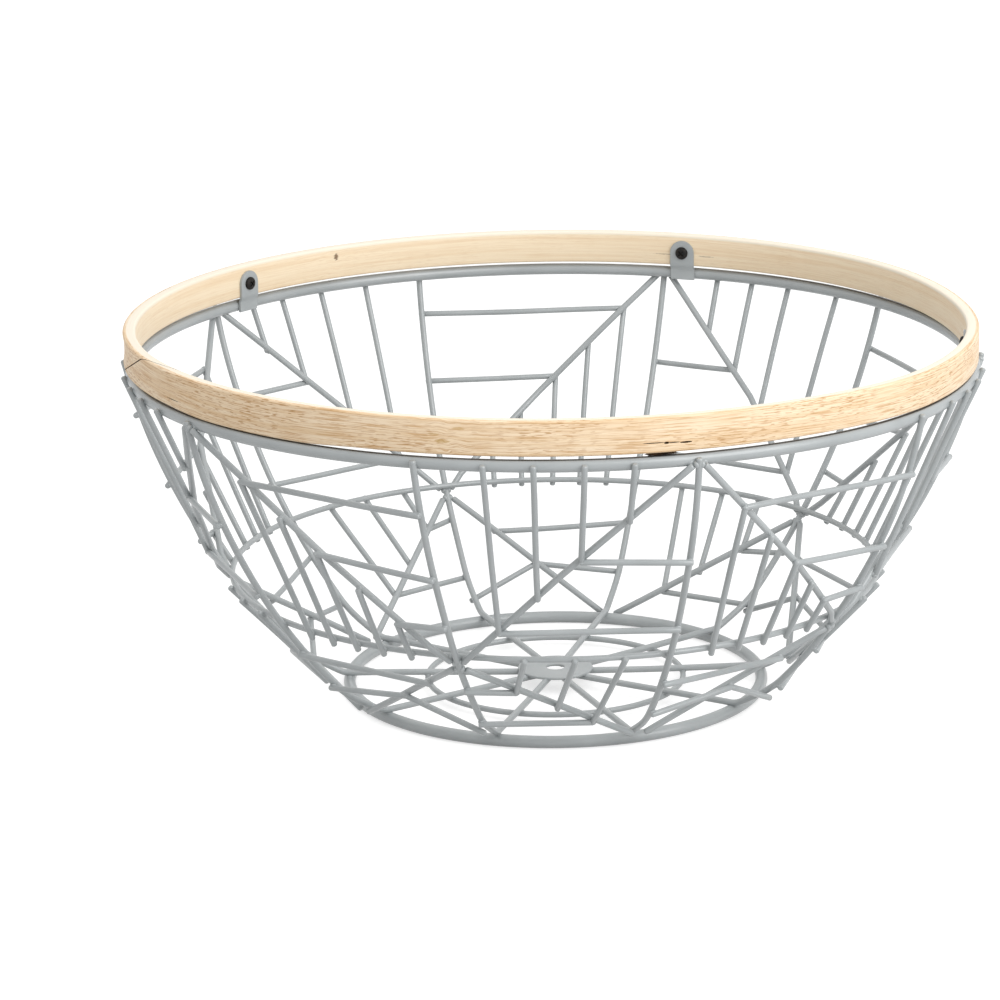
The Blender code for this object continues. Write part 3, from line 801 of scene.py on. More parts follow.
def swept(tree, geometry, sides):
    """A round wire along each edge, of the radius that is stored with its points."""
    lines = add_node(tree, "GeometryNodeMeshToCurve", {0: geometry})
    profile = add_node(tree, CIRCLE, {"Resolution": sides, "Radius": 1.0})
    links = {"Curve": lines, "Profile Curve": profile, "Fill Caps": True}
    links["Scale"] = stored(tree, "wire_radius", "FLOAT")
    return add_node(tree, "GeometryNodeCurveToMesh", links)


def beaded(tree, geometry, width, depth):
    """A flat ball on each loose point, square to its weld."""
    size = stored(tree, "weld_size", "FLOAT")
    is_weld = add_node(tree, "FunctionNodeCompare", {0: size, 1: 0.0}, operation="GREATER_THAN")
    spots = add_node(tree, "GeometryNodeMeshToPoints", {"Mesh": geometry, "Selection": is_weld})
    ball = add_node(tree, "GeometryNodeMeshIcoSphere", {"Radius": 0.5, "Subdivisions": BALL_FACES})
    facing = stored(tree, "weld_facing", "FLOAT_VECTOR")
    turned = add_node(tree, "FunctionNodeAlignRotationToVector", {"Vector": facing}, axis="Z")
    flat = add_node(tree, "ShaderNodeCombineXYZ", {"X": width, "Y": width, "Z": depth})
    scaled = add_node(tree, "ShaderNodeVectorMath", {0: flat, "Scale": size}, operation="SCALE")
    links = {"Points": spots, "Instance": ball, "Rotation": turned, "Scale": scaled}
    return add_node(tree, "GeometryNodeInstanceOnPoints", links)


wire_inputs = [("Sides", int)]
wire_inputs += [(label, float) for label in ("Bead Width", "Bead Depth", "Hand Bend", "Seed")]
wire_tree, given = start_tree("welded_wires", wire_inputs + [("Paint", None)])
bent = hand_bent(wire_tree, given["Geometry"], given["Hand Bend"], given["Seed"])
both = add_node(wire_tree, "GeometryNodeJoinGeometry")
for part in (
    beaded(wire_tree, bent, given["Bead Width"], given["Bead Depth"]),
    swept(wire_tree, bent, given["Sides"]),
):
    wire_tree.links.new(part.outputs[0], both.inputs[0])
end_tree(wire_tree, both, given["Paint"])
print("wire tree:", len(wire_tree.nodes), "nodes")

# %% Start meshes of edges and loose points
STEP = 0.006
END_ROUNDING = ((0.0, 0.55), (0.18, 0.85), (0.5, 1.0))


def with_round_ends(path, radius):
    """Points at most STEP apart with the wire's radius at each, smaller at its two ends."""
    first = (path[1] - path[0]).normalized()
    last = (path[-2] - path[-1]).normalized()
    points = [(path[0] + first * share * radius, size * radius) for share, size in END_ROUNDING]
    inner = [points[-1][0], *path[1:-1], path[-1] + last * END_ROUNDING[-1][0] * radius]
    for start, end in zip(inner, inner[1:]):
        count = math.ceil((end - start).length / STEP)
        points += [(start.lerp(end, step / count), radius) for step in range(1, count + 1)]
    for share, size in END_ROUNDING[-2::-1]:
        points.append((path[-1] + last * share * radius, size * radius))
    return points


def start_mesh(wires, beads):
    shape = bmesh.new()
    radius_layer = shape.verts.layers.float.new("wire_radius")
    weld_layer = shape.verts.layers.float.new("weld_size")
    facing_layer = shape.verts.layers.float_vector.new("weld_facing")
    for path, size in wires:
        last = None
        for point, radius in with_round_ends(path, size / 2):
            vert = shape.verts.new(point)
            vert[radius_layer] = radius
            if last:
                shape.edges.new((last, vert))
            last = vert
    for point, facing, size in beads:
        vert = shape.verts.new(point)
        vert[weld_layer] = size
        vert[facing_layer] = facing
    return written(shape, "start")


print("a rounded end takes", len(END_ROUNDING), "points")

# %% Make the cage
WIRE_SIZES = {"sides": 14, "bead_width": 1.18, "bead_depth": 0.85, "hand_bend": 0.0008, "seed": 4.0}

faces = 0
for name, wires in cage.items():
    start = start_mesh(wires, welds[name])
    mesh = run_tree(wire_tree, start, name + "_wires", paint=powder_coat, **WIRE_SIZES)
    add_piece(name + "_wires", mesh, [name])
    faces += len(mesh.polygons)
print("cage faces:", faces)

# %% [markdown]
# ## The bamboo hoop
# The rim is one bamboo strip, 12 mm high and 4.5 mm thick. It was softened in hot water, bent round
# and closed with a scarf joint: both ends are cut at a long slant and lie on each other. A sweep is
# the natural way to make it, but an ordinary one would start and end square. Here the stations of
# the sweep are sheared, most at the two ends, so that the ends get their slant. A real strip isn't
# quite round either: its stiff ends bend less, so it stands out a little beside the joint.

# %% The strip's section
RIM_EDGE_ROUND = 0.0008
CORNER_STEPS = 3


def rounded_box(low, high, rounding, steps):
    """The (radius, height) corners of a box section, up its inner side and down its outer one."""
    inner, foot = low[0] + rounding, low[1] + rounding
    outer, crown = high[0] - rounding, high[1] - rounding
    starts = {(inner, foot): -90, (inner, crown): 180, (outer, crown): 90, (outer, foot): 0}
    points = []
    for place, start in starts.items():
        for step in range(steps + 1):
            angle = math.radians(start - 90 * step / steps)
            points.append(Vector(place) + Vector((math.cos(angle), math.sin(angle))) * rounding)
    return points


inner_foot = (RIM_RADIUS - RIM_THICKNESS, BOWL_HEIGHT - RIM_HEIGHT)
corners = rounded_box(inner_foot, (RIM_RADIUS, BOWL_HEIGHT), RIM_EDGE_ROUND, CORNER_STEPS)
ways = [0.0]
for near, far in zip(corners, corners[1:] + corners[:1]):
    ways.append(ways[-1] + (far - near).length)
section_length = ways.pop()
outline = [(*corner, way) for corner, way in zip(corners, ways)]
print("section:", len(outline), "corners,", round(section_length * 1000, 1), "mm round")

# %% The joint, and where the strip isn't round
SCARF_AZIMUTH = -67.5
SCARF_SLANT = 10.0
SCARF_LEAN = -13.0
SCARF_GAP = 0.42
SHEAR_REACH = 70.0
STIFF_BULGE = 0.0012
STIFF_TURN = 24.0
HOOP_DROP = 0.0006
HOOP_DROP_SPAN = (35, 60, 95, 120)
FOOT_DROP = 0.0008
FOOT_DROP_SPAN = (-62, -50, -34, -24)


def half_turn(azimuth):
    """The azimuth between -180 and 180."""
    return (azimuth + 180) % 360 - 180


def scarf_shear(radius, height):
    """How far round from the joint's upper outer corner the cut lies at a place of the section."""
    inwards = (RIM_RADIUS - radius) / RIM_THICKNESS
    down = (BOWL_HEIGHT - height) / RIM_HEIGHT
    return SCARF_SLANT * inwards + SCARF_LEAN * down


def stiff_bulge(azimuth):
    """How far the strip stands out beside its joint."""
    away = half_turn(azimuth - SCARF_AZIMUTH + STIFF_TURN / 2)
    return STIFF_BULGE * math.exp(-((away / STIFF_TURN) ** 2))


def hand_drop(azimuth, height):
    """How much lower a place of the strip lies than in a perfect hoop."""
    down = (BOWL_HEIGHT - height) / RIM_HEIGHT
    foot_drop = FOOT_DROP * down * hump(azimuth, *FOOT_DROP_SPAN)
    return HOOP_DROP * hump(azimuth, *HOOP_DROP_SPAN) + foot_drop


print("the strip stands out", round(stiff_bulge(SCARF_AZIMUTH) * 1000, 2), "mm at its joint")

# %% Sweep the strip
HOOP_STEPS = 300


def strip_station(shape, share):
    """One sheared section: for each corner its point, and its place along and round the strip."""
    turned = SCARF_GAP / 2 + (360 - SCARF_GAP) * share
    weight = max(0.0, 1 - min(turned, 360 - turned) / SHEAR_REACH)
    station = []
    for radius, height, way in outline:
        azimuth = SCARF_AZIMUTH + turned + scarf_shear(radius, height) * weight
        dropped = height - hand_drop(half_turn(azimuth), height)
        vert = shape.verts.new(polar(azimuth, radius + stiff_bulge(azimuth), dropped))
        station.append((vert, (math.radians(azimuth) * RIM_RADIUS, way)))
    return station


def mapped_face(shape, layer, corners):
    """A face with its corners' places in the UV map."""
    face = shape.faces.new([vert for vert, _ in corners])
    for loop, (_, place) in zip(face.loops, corners):
        loop[layer].uv = place
    return face


def swept_strip():
    shape = bmesh.new()
    strip_map = shape.loops.layers.uv.new("Strip")
    stations = [strip_station(shape, step / HOOP_STEPS) for step in range(HOOP_STEPS + 1)]
    for near, far in zip(stations, stations[1:]):
        for corner in range(len(outline)):
            after = (corner + 1) % len(outline)
            ring = (near[corner], near[after], far[after], far[corner])
            face = mapped_face(shape, strip_map, ring)
            if after == 0:
                for loop in face.loops[1:3]:
                    loop[strip_map].uv.y = section_length
    # The cut ends at the joint get the second material, the painted shade of the splits.
    for end in (stations[0][::-1], stations[-1]):
        mapped_face(shape, strip_map, end).material_index = 1
    print("strip volume:", round(shape.calc_volume(signed=True) * 1e6, 1), "cubic centimetres")
    return written(shape, "bamboo_strip")


hoop_mesh = swept_strip()

# %% [markdown]
# ## Splits in the bamboo
# Bending opened a few thin splits low on the front of the hoop. Under them a sliver of painted
# shade hangs down to the ring below, where the tab lies in shadow. A split is a spindle: pointed
# at both ends, a few tenths of a millimetre high and deepest in its middle. Each one is modelled
# as such a solid and taken out of the strip with an exact Boolean, so that the opening is real,
# and its depth gets a painted shade.

# %% Splits as thin spindles
SPLIT_STEPS = 10
SPLIT_PROUD = 0.0002
SPLITS = (
    (10.9, 13.9, 0.1270, 0.00035, 0.0012),
    (13.7, 14.4, 0.1268, 0.00080, 0.0014),
    (14.2, 15.8, 0.1268, 0.00040, 0.0012),
    (15.7, 17.4, 0.1266, 0.00060, 0.0014),
    (-60.2, -56.0, 0.1262, 0.00040, 0.0008),
)
# A sliver of painted shade under the front splits, where the tab lies in shadow below the hoop.
SHADE_SLIVER = (11.2, 15.6, 0.1233, 0.00100, 0.0012)
SHADE_SLIVER_INSET = 0.0006


def spindle(start, end, height, thickness, depth, face_radius):
    """A pointed sliver along the hoop, from a face of it inwards."""
    shape = bmesh.new()
    slices = []
    for step in range(1, SPLIT_STEPS):
        share = step / SPLIT_STEPS
        azimuth = start + (end - start) * share
        swell = math.sqrt(math.sin(math.pi * share))
        high, low = height + thickness / 2 * swell, height - thickness / 2 * swell
        deep = face_radius - depth * swell
        rim = ((face_radius, low), (face_radius, high))
        rim += ((deep, (high * 2 + low) / 3), (deep, (high + low * 2) / 3))
        slices.append([shape.verts.new(polar(azimuth, radius, z)) for radius, z in rim])
    pairs = ((0, 1), (1, 2), (2, 3), (3, 0))
    for near, far in zip(slices, slices[1:]):
        for a, b in pairs:
            shape.faces.new((near[a], near[b], far[b], far[a]))
    for slice_verts, azimuth in ((slices[0], start), (slices[-1], end)):
        tip = shape.verts.new(polar(azimuth, face_radius, height))
        for a, b in pairs:
            shape.faces.new((slice_verts[a], slice_verts[b], tip))
    bmesh.ops.recalc_face_normals(shape, faces=shape.faces)
    return written(shape, "split")


print("splits:", len(SPLITS))

# %% [markdown]
# ## Bamboo
# Bamboo has no growth rings. Its stem is full of fine fibres that all run along it, with darker
# bundles among them that show as short dashes, and every few hand widths a joint where the fibres
# swirl. So the pattern has to follow the strip: its UV map gives metres along the strip and metres
# round its section, and noise that is stretched along it draws fibres, dashes and broad bands. The
# outer face is the coarser one. The inner face is paler and smoother, and the top face more so.

# %% How the grain runs
INNER_FACE = RIM_HEIGHT - RIM_EDGE_ROUND
OUTER_FACE = INNER_FACE + RIM_THICKNESS
JOINTS = (-0.035, 0.304, 0.561)
JOINT_REACH = 0.016
SWIRL_WAVES = (170, 420, 1.0)
SWIRL_REACH = 0.0026
WANDER_WAVES = (9, 60, 1.0)
WANDER_REACH = 0.0030


def stretched_noise(tree, vector, along, across, detail):
    """Noise with so many waves to a metre along the strip and across it."""
    scaled = add_node(tree, "ShaderNodeMapping", {"Vector": vector, "Scale": (along, across, 1.0)})
    links = {"Vector": scaled, "Scale": 1.0, "Detail": detail}
    return add_node(tree, "ShaderNodeTexNoise", links).outputs[0]


def centred_noise(tree, vector, waves):
    return math_node(tree, "SUBTRACT", stretched_noise(tree, vector, *waves), 0.5)


def fibre_grain(tree, strip, along, way):
    """The strip's coordinates, with the fibres swirling near a joint and wandering elsewhere."""
    near_joint = None
    for joint in JOINTS:
        away = math_node(tree, "DIVIDE", math_node(tree, "SUBTRACT", along, joint), JOINT_REACH)
        distance = math_node(tree, "ABSOLUTE", away)
        closeness = math_node(tree, "SUBTRACT", 1.0, distance, clamp=True)
        if near_joint:
            closeness = math_node(tree, "MAXIMUM", near_joint, closeness)
        near_joint = closeness
    swirl = times(tree, centred_noise(tree, strip, SWIRL_WAVES), SWIRL_REACH, near_joint)
    wander = times(tree, centred_noise(tree, strip, WANDER_WAVES), WANDER_REACH)
    shifted = plus(tree, plus(tree, way, wander), swirl)
    grain = add_node(tree, "ShaderNodeCombineXYZ", {0: along, 1: shifted, 2: 0.0}).outputs[0]
    return grain, near_joint


print("joints at", [round(math.degrees(joint / RIM_RADIUS)) for joint in JOINTS], "degrees")

# %% [markdown]
# ## The knots
# Beside each joint, small knots and rubbed marks break the grain. A knot is an ellipse on the strip
# with a frayed edge, so it is given by its place, its two half widths and its colour.

# %% Knots
OCHRE = (0.55, 0.33, 0.09)
BROWN = (0.16, 0.085, 0.04)
FRAY_WAVES = (700, 2600, 1.0)
FRAY_REACH = 1.6
KNOT_EDGE = (1.3, 0.6)
KNOTS = (
    (-0.0361, OUTER_FACE + 0.0079, 0.0024, 0.0007, OCHRE, 0.60),
    (-0.0307, OUTER_FACE + 0.0034, 0.0022, 0.0005, OCHRE, 0.42),
    (-0.0390, OUTER_FACE + 0.0056, 0.0020, 0.0004, OCHRE, 0.42),
    (0.5608, 0.0088, 0.0009, 0.0011, BROWN, 0.85),
    (0.4255, 0.0046, 0.0042, 0.0002, BROWN, 0.50),
    (0.4085, 0.0046, 0.0034, 0.0002, BROWN, 0.42),
)


def knot_mask(tree, strip, frayed, along, way, reach, height, strength):
    """How much of a knot's colour shows: an ellipse with a frayed edge."""
    place = (-along / reach, -way / height, 0.0)
    links = {"Vector": strip, "Scale": (1 / reach, 1 / height, 0.0), "Location": place}
    centred = add_node(tree, "ShaderNodeMapping", links)
    away = add_node(tree, "ShaderNodeVectorMath", {0: centred}, operation="LENGTH").outputs["Value"]
    return times(tree, ramp(tree, plus(tree, away, frayed), *KNOT_EDGE), strength)


def with_knots(tree, strip, face):
    """The strip's colour with every knot over it."""
    frayed = times(tree, centred_noise(tree, strip, FRAY_WAVES), FRAY_REACH)
    for *ellipse, colour, strength in KNOTS:
        face = mixed(tree, knot_mask(tree, strip, frayed, *ellipse, strength), face, colour)
    return face


print("knots:", len(KNOTS))

# %% [markdown]
# ## The colour of the strip
# Four layers of marks lie over a pale ground: broad bands, fine fibres, darker streaks, and the
# short dashes of fibre bundles, which come in patches. Each layer is a noise with its own number of
# waves to a metre, a range where it fades in, and a strength for the inner and the outer face.

# %% Bamboo material
FACE_BLEND = 0.0006
EDGE_START = 0.0002
OUTER_GROUND = (0.975, 0.79, 0.57)
INNER_GROUND = (0.975, 0.815, 0.595)
PALE_TOP_FACE = (0.95, 0.89, 0.77)
PALE_TOP_SHARE = 0.75
PATCH_WAVES = (22, 90, 2.0)
PATCH_RANGE = (0.30, 0.62)
LAYERS = {
    "bands": ((9, 560, 2.0), (0.40, 0.72), (0.45, 0.85), (0.84, 0.61, 0.37)),
    "fibres": ((60, 3300, 2.0), (0.48, 0.62), (0.14, 0.52), (0.78, 0.53, 0.29)),
    "streaks": ((60, 2500, 1.0), (0.54, 0.63), (0.12, 0.66), (0.64, 0.38, 0.175)),
    "dashes": ((260, 2700, 1.0), (0.56, 0.64), (0.12, 0.85), (0.54, 0.30, 0.125)),
}
BAMBOO_SPECULAR = 0.25
BAMBOO_ROUGHNESS = (0.40, 0.56)
JOINT_RELIEF = 0.3
FIBRE_BUMP = (0.00012, 0.5)


def bamboo_material():
    material, tree, shader = start_material("bamboo_strip", specular=BAMBOO_SPECULAR)
    strip = add_node(tree, "ShaderNodeUVMap", uv_map="Strip").outputs[0]
    along, way = add_node(tree, "ShaderNodeSeparateXYZ", {0: strip}).outputs[:2]
    outer = ramp(tree, way, OUTER_FACE - FACE_BLEND, OUTER_FACE)
    past_inner = ramp(tree, way, INNER_FACE - EDGE_START, INNER_FACE + FACE_BLEND)
    top_edge = math_node(tree, "SUBTRACT", past_inner, outer)
    grain, near_joint = fibre_grain(tree, strip, along, way)
    patches = ramp(tree, stretched_noise(tree, strip, *PATCH_WAVES), *PATCH_RANGE)
    noises = {name: stretched_noise(tree, grain, *layer[0]) for name, layer in LAYERS.items()}
    face = mixed(tree, outer, INNER_GROUND, OUTER_GROUND)
    for name, (_, limits, strengths, colour) in LAYERS.items():
        share = ramp(tree, noises[name], *limits)
        if name == "dashes":
            share = times(tree, share, patches)
        face = mixed(tree, times(tree, share, spread(tree, outer, *strengths)), face, colour)
    # The top face is given a paler colour.
    face = mixed(tree, times(tree, top_edge, PALE_TOP_SHARE), face, PALE_TOP_FACE)
    tree.links.new(with_knots(tree, strip, face), shader.inputs["Base Color"])
    roughness = spread(tree, noises["fibres"], *BAMBOO_ROUGHNESS)
    tree.links.new(roughness, shader.inputs["Roughness"])
    relief = plus(tree, noises["fibres"], times(tree, near_joint, JOINT_RELIEF))
    add_bump(tree, shader, relief, *FIBRE_BUMP)
    return material


bamboo = bamboo_material()
print("made", bamboo.name, "with", len(bamboo.node_tree.nodes), "nodes")

# %% [markdown]
# ## Painted shade in the splits
# The depth of a split and the cut ends at the joint get a painted shade: nearly black, because no
# light gets in, and quite dull. Then the splits are cut, and a sliver of the same painted shade is
# hung under them.

# %% Material of painted shade in the splits
SPLIT_SHADE_TONES = ((0.3, (0.010, 0.006, 0.004)), (0.7, (0.05, 0.026, 0.012)))
SPLIT_SHADE_NOISE = (900.0, 2.0)

split_shade, tree, shader = start_material("torn_fibres", specular=0.1, roughness=0.95)
tones = colour_ramp(tree, object_noise(tree, *SPLIT_SHADE_NOISE), SPLIT_SHADE_TONES)
tree.links.new(tones, shader.inputs["Base Color"])
print("made", split_shade.name)

# %% Cut the splits and hang a sliver of painted shade
CRISP_EDGE = 40

# The hoop's second material is a painted shade for the splits' depth and the joint's cut ends.
for material in (bamboo, split_shade):
    hoop_mesh.materials.append(material)
tools = []
for split in SPLITS:
    tools.append(spindle(*split, RIM_RADIUS + stiff_bulge(split[0]) + SPLIT_PROUD))
    tools[-1].materials.append(split_shade)
cut_mesh = carved("bent_bamboo_hoop", hoop_mesh, tools, "TRANSFER")
# The sliver of painted shade is added to the hoop, in the splits' near-black material.
shape = bmesh.new()
shape.from_mesh(cut_mesh)
known = len(shape.faces)
shape.from_mesh(spindle(*SHADE_SLIVER, RIM_RADIUS - SHADE_SLIVER_INSET))
shape.faces.ensure_lookup_table()
for face in shape.faces[known:]:
    face.material_index = list(cut_mesh.materials).index(split_shade)
shape.to_mesh(cut_mesh)
shape.free()
smooth_to(cut_mesh, CRISP_EDGE)
add_piece("bent_bamboo_hoop", cut_mesh, ["bamboo_hoop"])
print("hoop faces:", len(cut_mesh.polygons), "with", len(cut_mesh.materials), "materials")

# %% [markdown]
# ## The disc in the base
# A small plate with a hole covers the spokes' inner ends. It was punched from 1 mm sheet, so its
# edges are slightly rounded, and the paint fills them further. It is turned like a lathe part: one
# outline of its section, spun once round the bowl's axis.

# %% Turn the disc
DISC_RADIUS = 0.0135
DISC_THICKNESS = 0.0010
DISC_HOLE_RADIUS = 0.0033
DISC_EDGE_ROUND = 0.00035
DISC_STEPS = 96


def spun(corners, axis, steps, is_loop=True):
    """A section's corners, joined up to a loop or a line and spun once round an axis."""
    shape = bmesh.new()
    verts = [shape.verts.new(corner) for corner in corners]
    edges = [shape.edges.new(pair) for pair in zip(verts, verts[1:] + verts[:is_loop])]
    turn = {"axis": axis, "cent": (0, 0, 0), "angle": 2 * math.pi, "steps": steps}
    bmesh.ops.spin(shape, geom=verts + edges, use_merge=True, **turn)
    return shape


disc_foot = spoke_height(DISC_RADIUS) + WIRE / 2 - SINK
disc_top = (DISC_RADIUS, disc_foot + DISC_THICKNESS)
section = rounded_box((DISC_HOLE_RADIUS, disc_foot), disc_top, DISC_EDGE_ROUND, CORNER_STEPS)
shape = spun([polar(0, radius, height) for radius, height in section], (0, 0, 1), DISC_STEPS)
bmesh.ops.recalc_face_normals(shape, faces=shape.faces)
disc_mesh = written(shape, "punched_disc")
disc_mesh.shade_smooth()
disc_mesh.materials.append(powder_coat)
add_piece("punched_disc", disc_mesh, ["base_disc"])
print("disc stands on the spokes at", round(disc_foot * 1000, 2), "mm")

# %% [markdown]
# ## What repeats round the rim
# Five tabs are welded to the top ring, and a black screw goes through each one into the bamboo. The
# tab and the screw are modelled once. A small tree then sets them round the axis: points on the
# axis, one instance on each, turned by the point's number. An Index Switch adds what each tab
# stands off its even place, because they were welded by eye. Realize Instances makes them real.

# %% Tree that repeats round the axis
TAB_SLIPS = (-1.4, -3.0, 0.5, 0.0, 0.0)

slip_labels = [f"Slip {sector + 1}" for sector in range(SECTORS)]
round_inputs = [("Count", int), ("Turn", float)] + [(label, float) for label in slip_labels]
round_tree, given = start_tree("set_round_the_rim", round_inputs + [("Finish", None)])
points = add_node(round_tree, "GeometryNodePoints", {"Count": given["Count"]})
number = add_node(round_tree, "GeometryNodeInputIndex").outputs[0]
slip = add_node(round_tree, "GeometryNodeIndexSwitch", data_type="FLOAT")
while len(slip.index_switch_items) < SECTORS:
    slip.index_switch_items.new()
for socket, source in zip(slip.inputs, [number] + [given[label] for label in slip_labels]):
    round_tree.links.new(source, socket)
angle = plus(round_tree, times(round_tree, number, given["Turn"]), slip.outputs[0])
turned = add_node(round_tree, "ShaderNodeCombineXYZ", {"Z": angle})
links = {"Points": points, "Instance": given["Geometry"], "Rotation": turned}
copies = add_node(round_tree, "GeometryNodeInstanceOnPoints", links)
end_tree(round_tree, copies, given["Finish"], smooth=False)
round_sizes = {f"slip_{sector + 1}": math.radians(turn) for sector, turn in enumerate(TAB_SLIPS)}
round_sizes |= {"count": SECTORS, "turn": math.radians(TURN)}
print("nodes:", len(round_tree.nodes), "for", round_sizes["count"], "tabs")

# %% [markdown]
# ## Tabs
# A tab is a stamped strip of 1 mm steel with a round end. Its upper half lies flat against the
# inside of the hoop, and its lower half is set out a little, so that it meets the ring's inner side
# where it is welded. It is drawn as an outline in its own plane, given its thickness, bevelled, and
# then each point is pushed out by the same smooth step.

# %% Model one tab
TAB_TURN = -2.8
TAB_WIDTH = 0.0094
TAB_THICKNESS = 0.0010
TAB_BEVEL = 0.00018
TAB_ARC_STEPS = 24
TAB_SET_OUT = 0.0008
SCREW_DROP = 0.0069
TAB_FOOT_DROP = BOWL_HEIGHT - SCREW_DROP - TOP_RING_HEIGHT + RING_ROD / 2
TAB_ROWS = 8
STAMPED_EDGE = 60
METAL_EDGE = 35


def on_the_rim(mesh, outwards=0.0):
    """Moves a mesh to the first screw's place: X along the rim, Y outwards, Z up."""
    azimuth = NODE_AZIMUTH + TAB_TURN
    place = Matrix.Translation(polar(azimuth, RIM_RADIUS - RIM_THICKNESS, BOWL_HEIGHT - SCREW_DROP))
    turn = Matrix.Rotation(math.radians(azimuth + 180), 4, "Z")
    smooth_to(mesh, METAL_EDGE)
    mesh.transform(place @ turn @ Matrix.Translation((0, outwards, 0)))
    return mesh


def tab_side():
    """(half width, height) up one side of the tab and round to the top of its end."""
    half = TAB_WIDTH / 2
    side = [(half, -TAB_FOOT_DROP + TAB_FOOT_DROP * row / TAB_ROWS) for row in range(TAB_ROWS + 1)]
    for step in range(1, TAB_ARC_STEPS):
        angle = math.pi / 2 * step / TAB_ARC_STEPS
        side.append((half * math.cos(angle), half * math.sin(angle)))
    return side


def tab_mesh():
    shape = bmesh.new()
    side = tab_side()
    outline = side + [(0.0, TAB_WIDTH / 2)] + [(-width, height) for width, height in side[::-1]]
    face = shape.faces.new([shape.verts.new((x, -TAB_THICKNESS, z)) for x, z in outline])
    grown = bmesh.ops.extrude_face_region(shape, geom=[face])["geom"]
    far = [item for item in grown if isinstance(item, bmesh.types.BMVert)]
    bmesh.ops.translate(shape, verts=far, vec=(0, TAB_THICKNESS, 0))
    bmesh.ops.recalc_face_normals(shape, faces=shape.faces)
    rim = [edge for edge in shape.edges if edge.calc_face_angle(0) > math.radians(STAMPED_EDGE)]
    bmesh.ops.bevel(shape, geom=rim, offset=TAB_BEVEL, segments=2, affect="EDGES")
    for _, height in side[1:TAB_ROWS]:
        geometry = [*shape.verts, *shape.edges, *shape.faces]
        bmesh.ops.bisect_plane(shape, geom=geometry, plane_co=(0, 0, height), plane_no=(0, 0, 1))
    gap_top = SCREW_DROP - RIM_HEIGHT
    gap_foot = gap_top - RIM_CLEARANCE
    for vert in shape.verts:
        vert.co.y += TAB_SET_OUT * eased(clamped((gap_top - vert.co.z) / (gap_top - gap_foot)))
    return on_the_rim(written(shape, "tab"))


tabs = run_tree(round_tree, tab_mesh(), "rim_tabs", finish=powder_coat, **round_sizes)
tab_nodes = [f"tab_{sector + 1}" for sector in range(SECTORS)]
add_piece("rim_tabs", tabs, tab_nodes)
print("tab faces:", len(tabs.polygons))

# %% [markdown]
# ## Screws
# The screws are small pan heads in black oxide, a satin black that turns a little brown where it is
# rubbed. The head's section is a flat washer edge and a quarter of an ellipse, turned round its own
# axis. The cross recess for the driver is cut with two crossed bars.

# %% Black oxide
OXIDE_TONES = ((0.35, (0.004, 0.004, 0.004)), (0.75, (0.022, 0.017, 0.013)))
OXIDE_ROUGHNESS = (0.45, 0.62)
OXIDE_BUMP = (0.00005, 0.3)
RUB_NOISE = (700.0, 3.0)

black_oxide, tree, shader = start_material("black_oxide", specular=0.25)
rub = object_noise(tree, *RUB_NOISE)
tree.links.new(colour_ramp(tree, rub, OXIDE_TONES), shader.inputs["Base Color"])
tree.links.new(spread(tree, rub, *OXIDE_ROUGHNESS), shader.inputs["Roughness"])
add_bump(tree, shader, rub, *OXIDE_BUMP)
print("made", black_oxide.name)

# %% Model one screw
SCREW_HEAD_RADIUS = 0.0024
SCREW_HEAD_HEIGHT = 0.0014
SCREW_HEAD_EDGE = 0.0004
SCREW_SHANK_RADIUS = 0.0012
SCREW_SHANK_LENGTH = 0.0040
SCREW_STEPS = 40
DOME_STEPS = 6
RECESS_WIDTH = 0.00045
RECESS_REACH = 0.0013
RECESS_DEPTH = 0.0008
RECESS_TURNS = (45, 135)
SAME_POINT = 1e-6


def screw_outline():
    """(radius, outwards) from the crown to the tip."""
    rise = SCREW_HEAD_HEIGHT - SCREW_HEAD_EDGE
    points = []
    for step in range(DOME_STEPS + 1):
        angle = math.pi / 2 * (1 - step / DOME_STEPS)
        out = -SCREW_HEAD_EDGE - rise * math.sin(angle)
        points.append((SCREW_HEAD_RADIUS * math.cos(angle), out))
    points += [(SCREW_HEAD_RADIUS, 0.0), (SCREW_SHANK_RADIUS, 0.0)]
    return points + [(SCREW_SHANK_RADIUS, SCREW_SHANK_LENGTH), (0.0, SCREW_SHANK_LENGTH)]


def recess_bar(turn):
    """One bar of the cross that is cut into the crown."""
    bar = bmesh.new()
    size = Matrix.Diagonal((2 * RECESS_REACH, 2 * RECESS_DEPTH, RECESS_WIDTH, 1))
    turned = Matrix.Rotation(math.radians(turn), 4, "Y") @ size
    crown = Matrix.Translation((0, -SCREW_HEAD_HEIGHT, 0))
    bmesh.ops.create_cube(bar, size=1.0, matrix=crown @ turned)
    return written(bar, "recess")


def screw_mesh():
    corners = [(radius, outwards, 0) for radius, outwards in screw_outline()]
    shape = spun(corners, (0, 1, 0), SCREW_STEPS, is_loop=False)
    bmesh.ops.remove_doubles(shape, verts=shape.verts, dist=SAME_POINT)
    bmesh.ops.recalc_face_normals(shape, faces=shape.faces)
    bars = [recess_bar(turn) for turn in RECESS_TURNS]
    return on_the_rim(carved("screw", written(shape, "screw"), bars), -TAB_THICKNESS)


screws = run_tree(round_tree, screw_mesh(), "rim_screws", finish=black_oxide, **round_sizes)
screw_nodes = [f"screw_{sector + 1}" for sector in range(SECTORS)]
add_piece("rim_screws", screws, screw_nodes)
print("screw faces:", len(screws.polygons))

# %% [markdown]
# ## Floor and light
# The bowl stands on a plain pale table in a white studio. The floor's own colour is a light grey,
# and the camera's rays see it with some white light added, through Light Path, so that it is white
# in the picture while the bowl gets no light from that. The light itself is soft: a sky that is
# brightest overhead, and one large soft box high on the right.

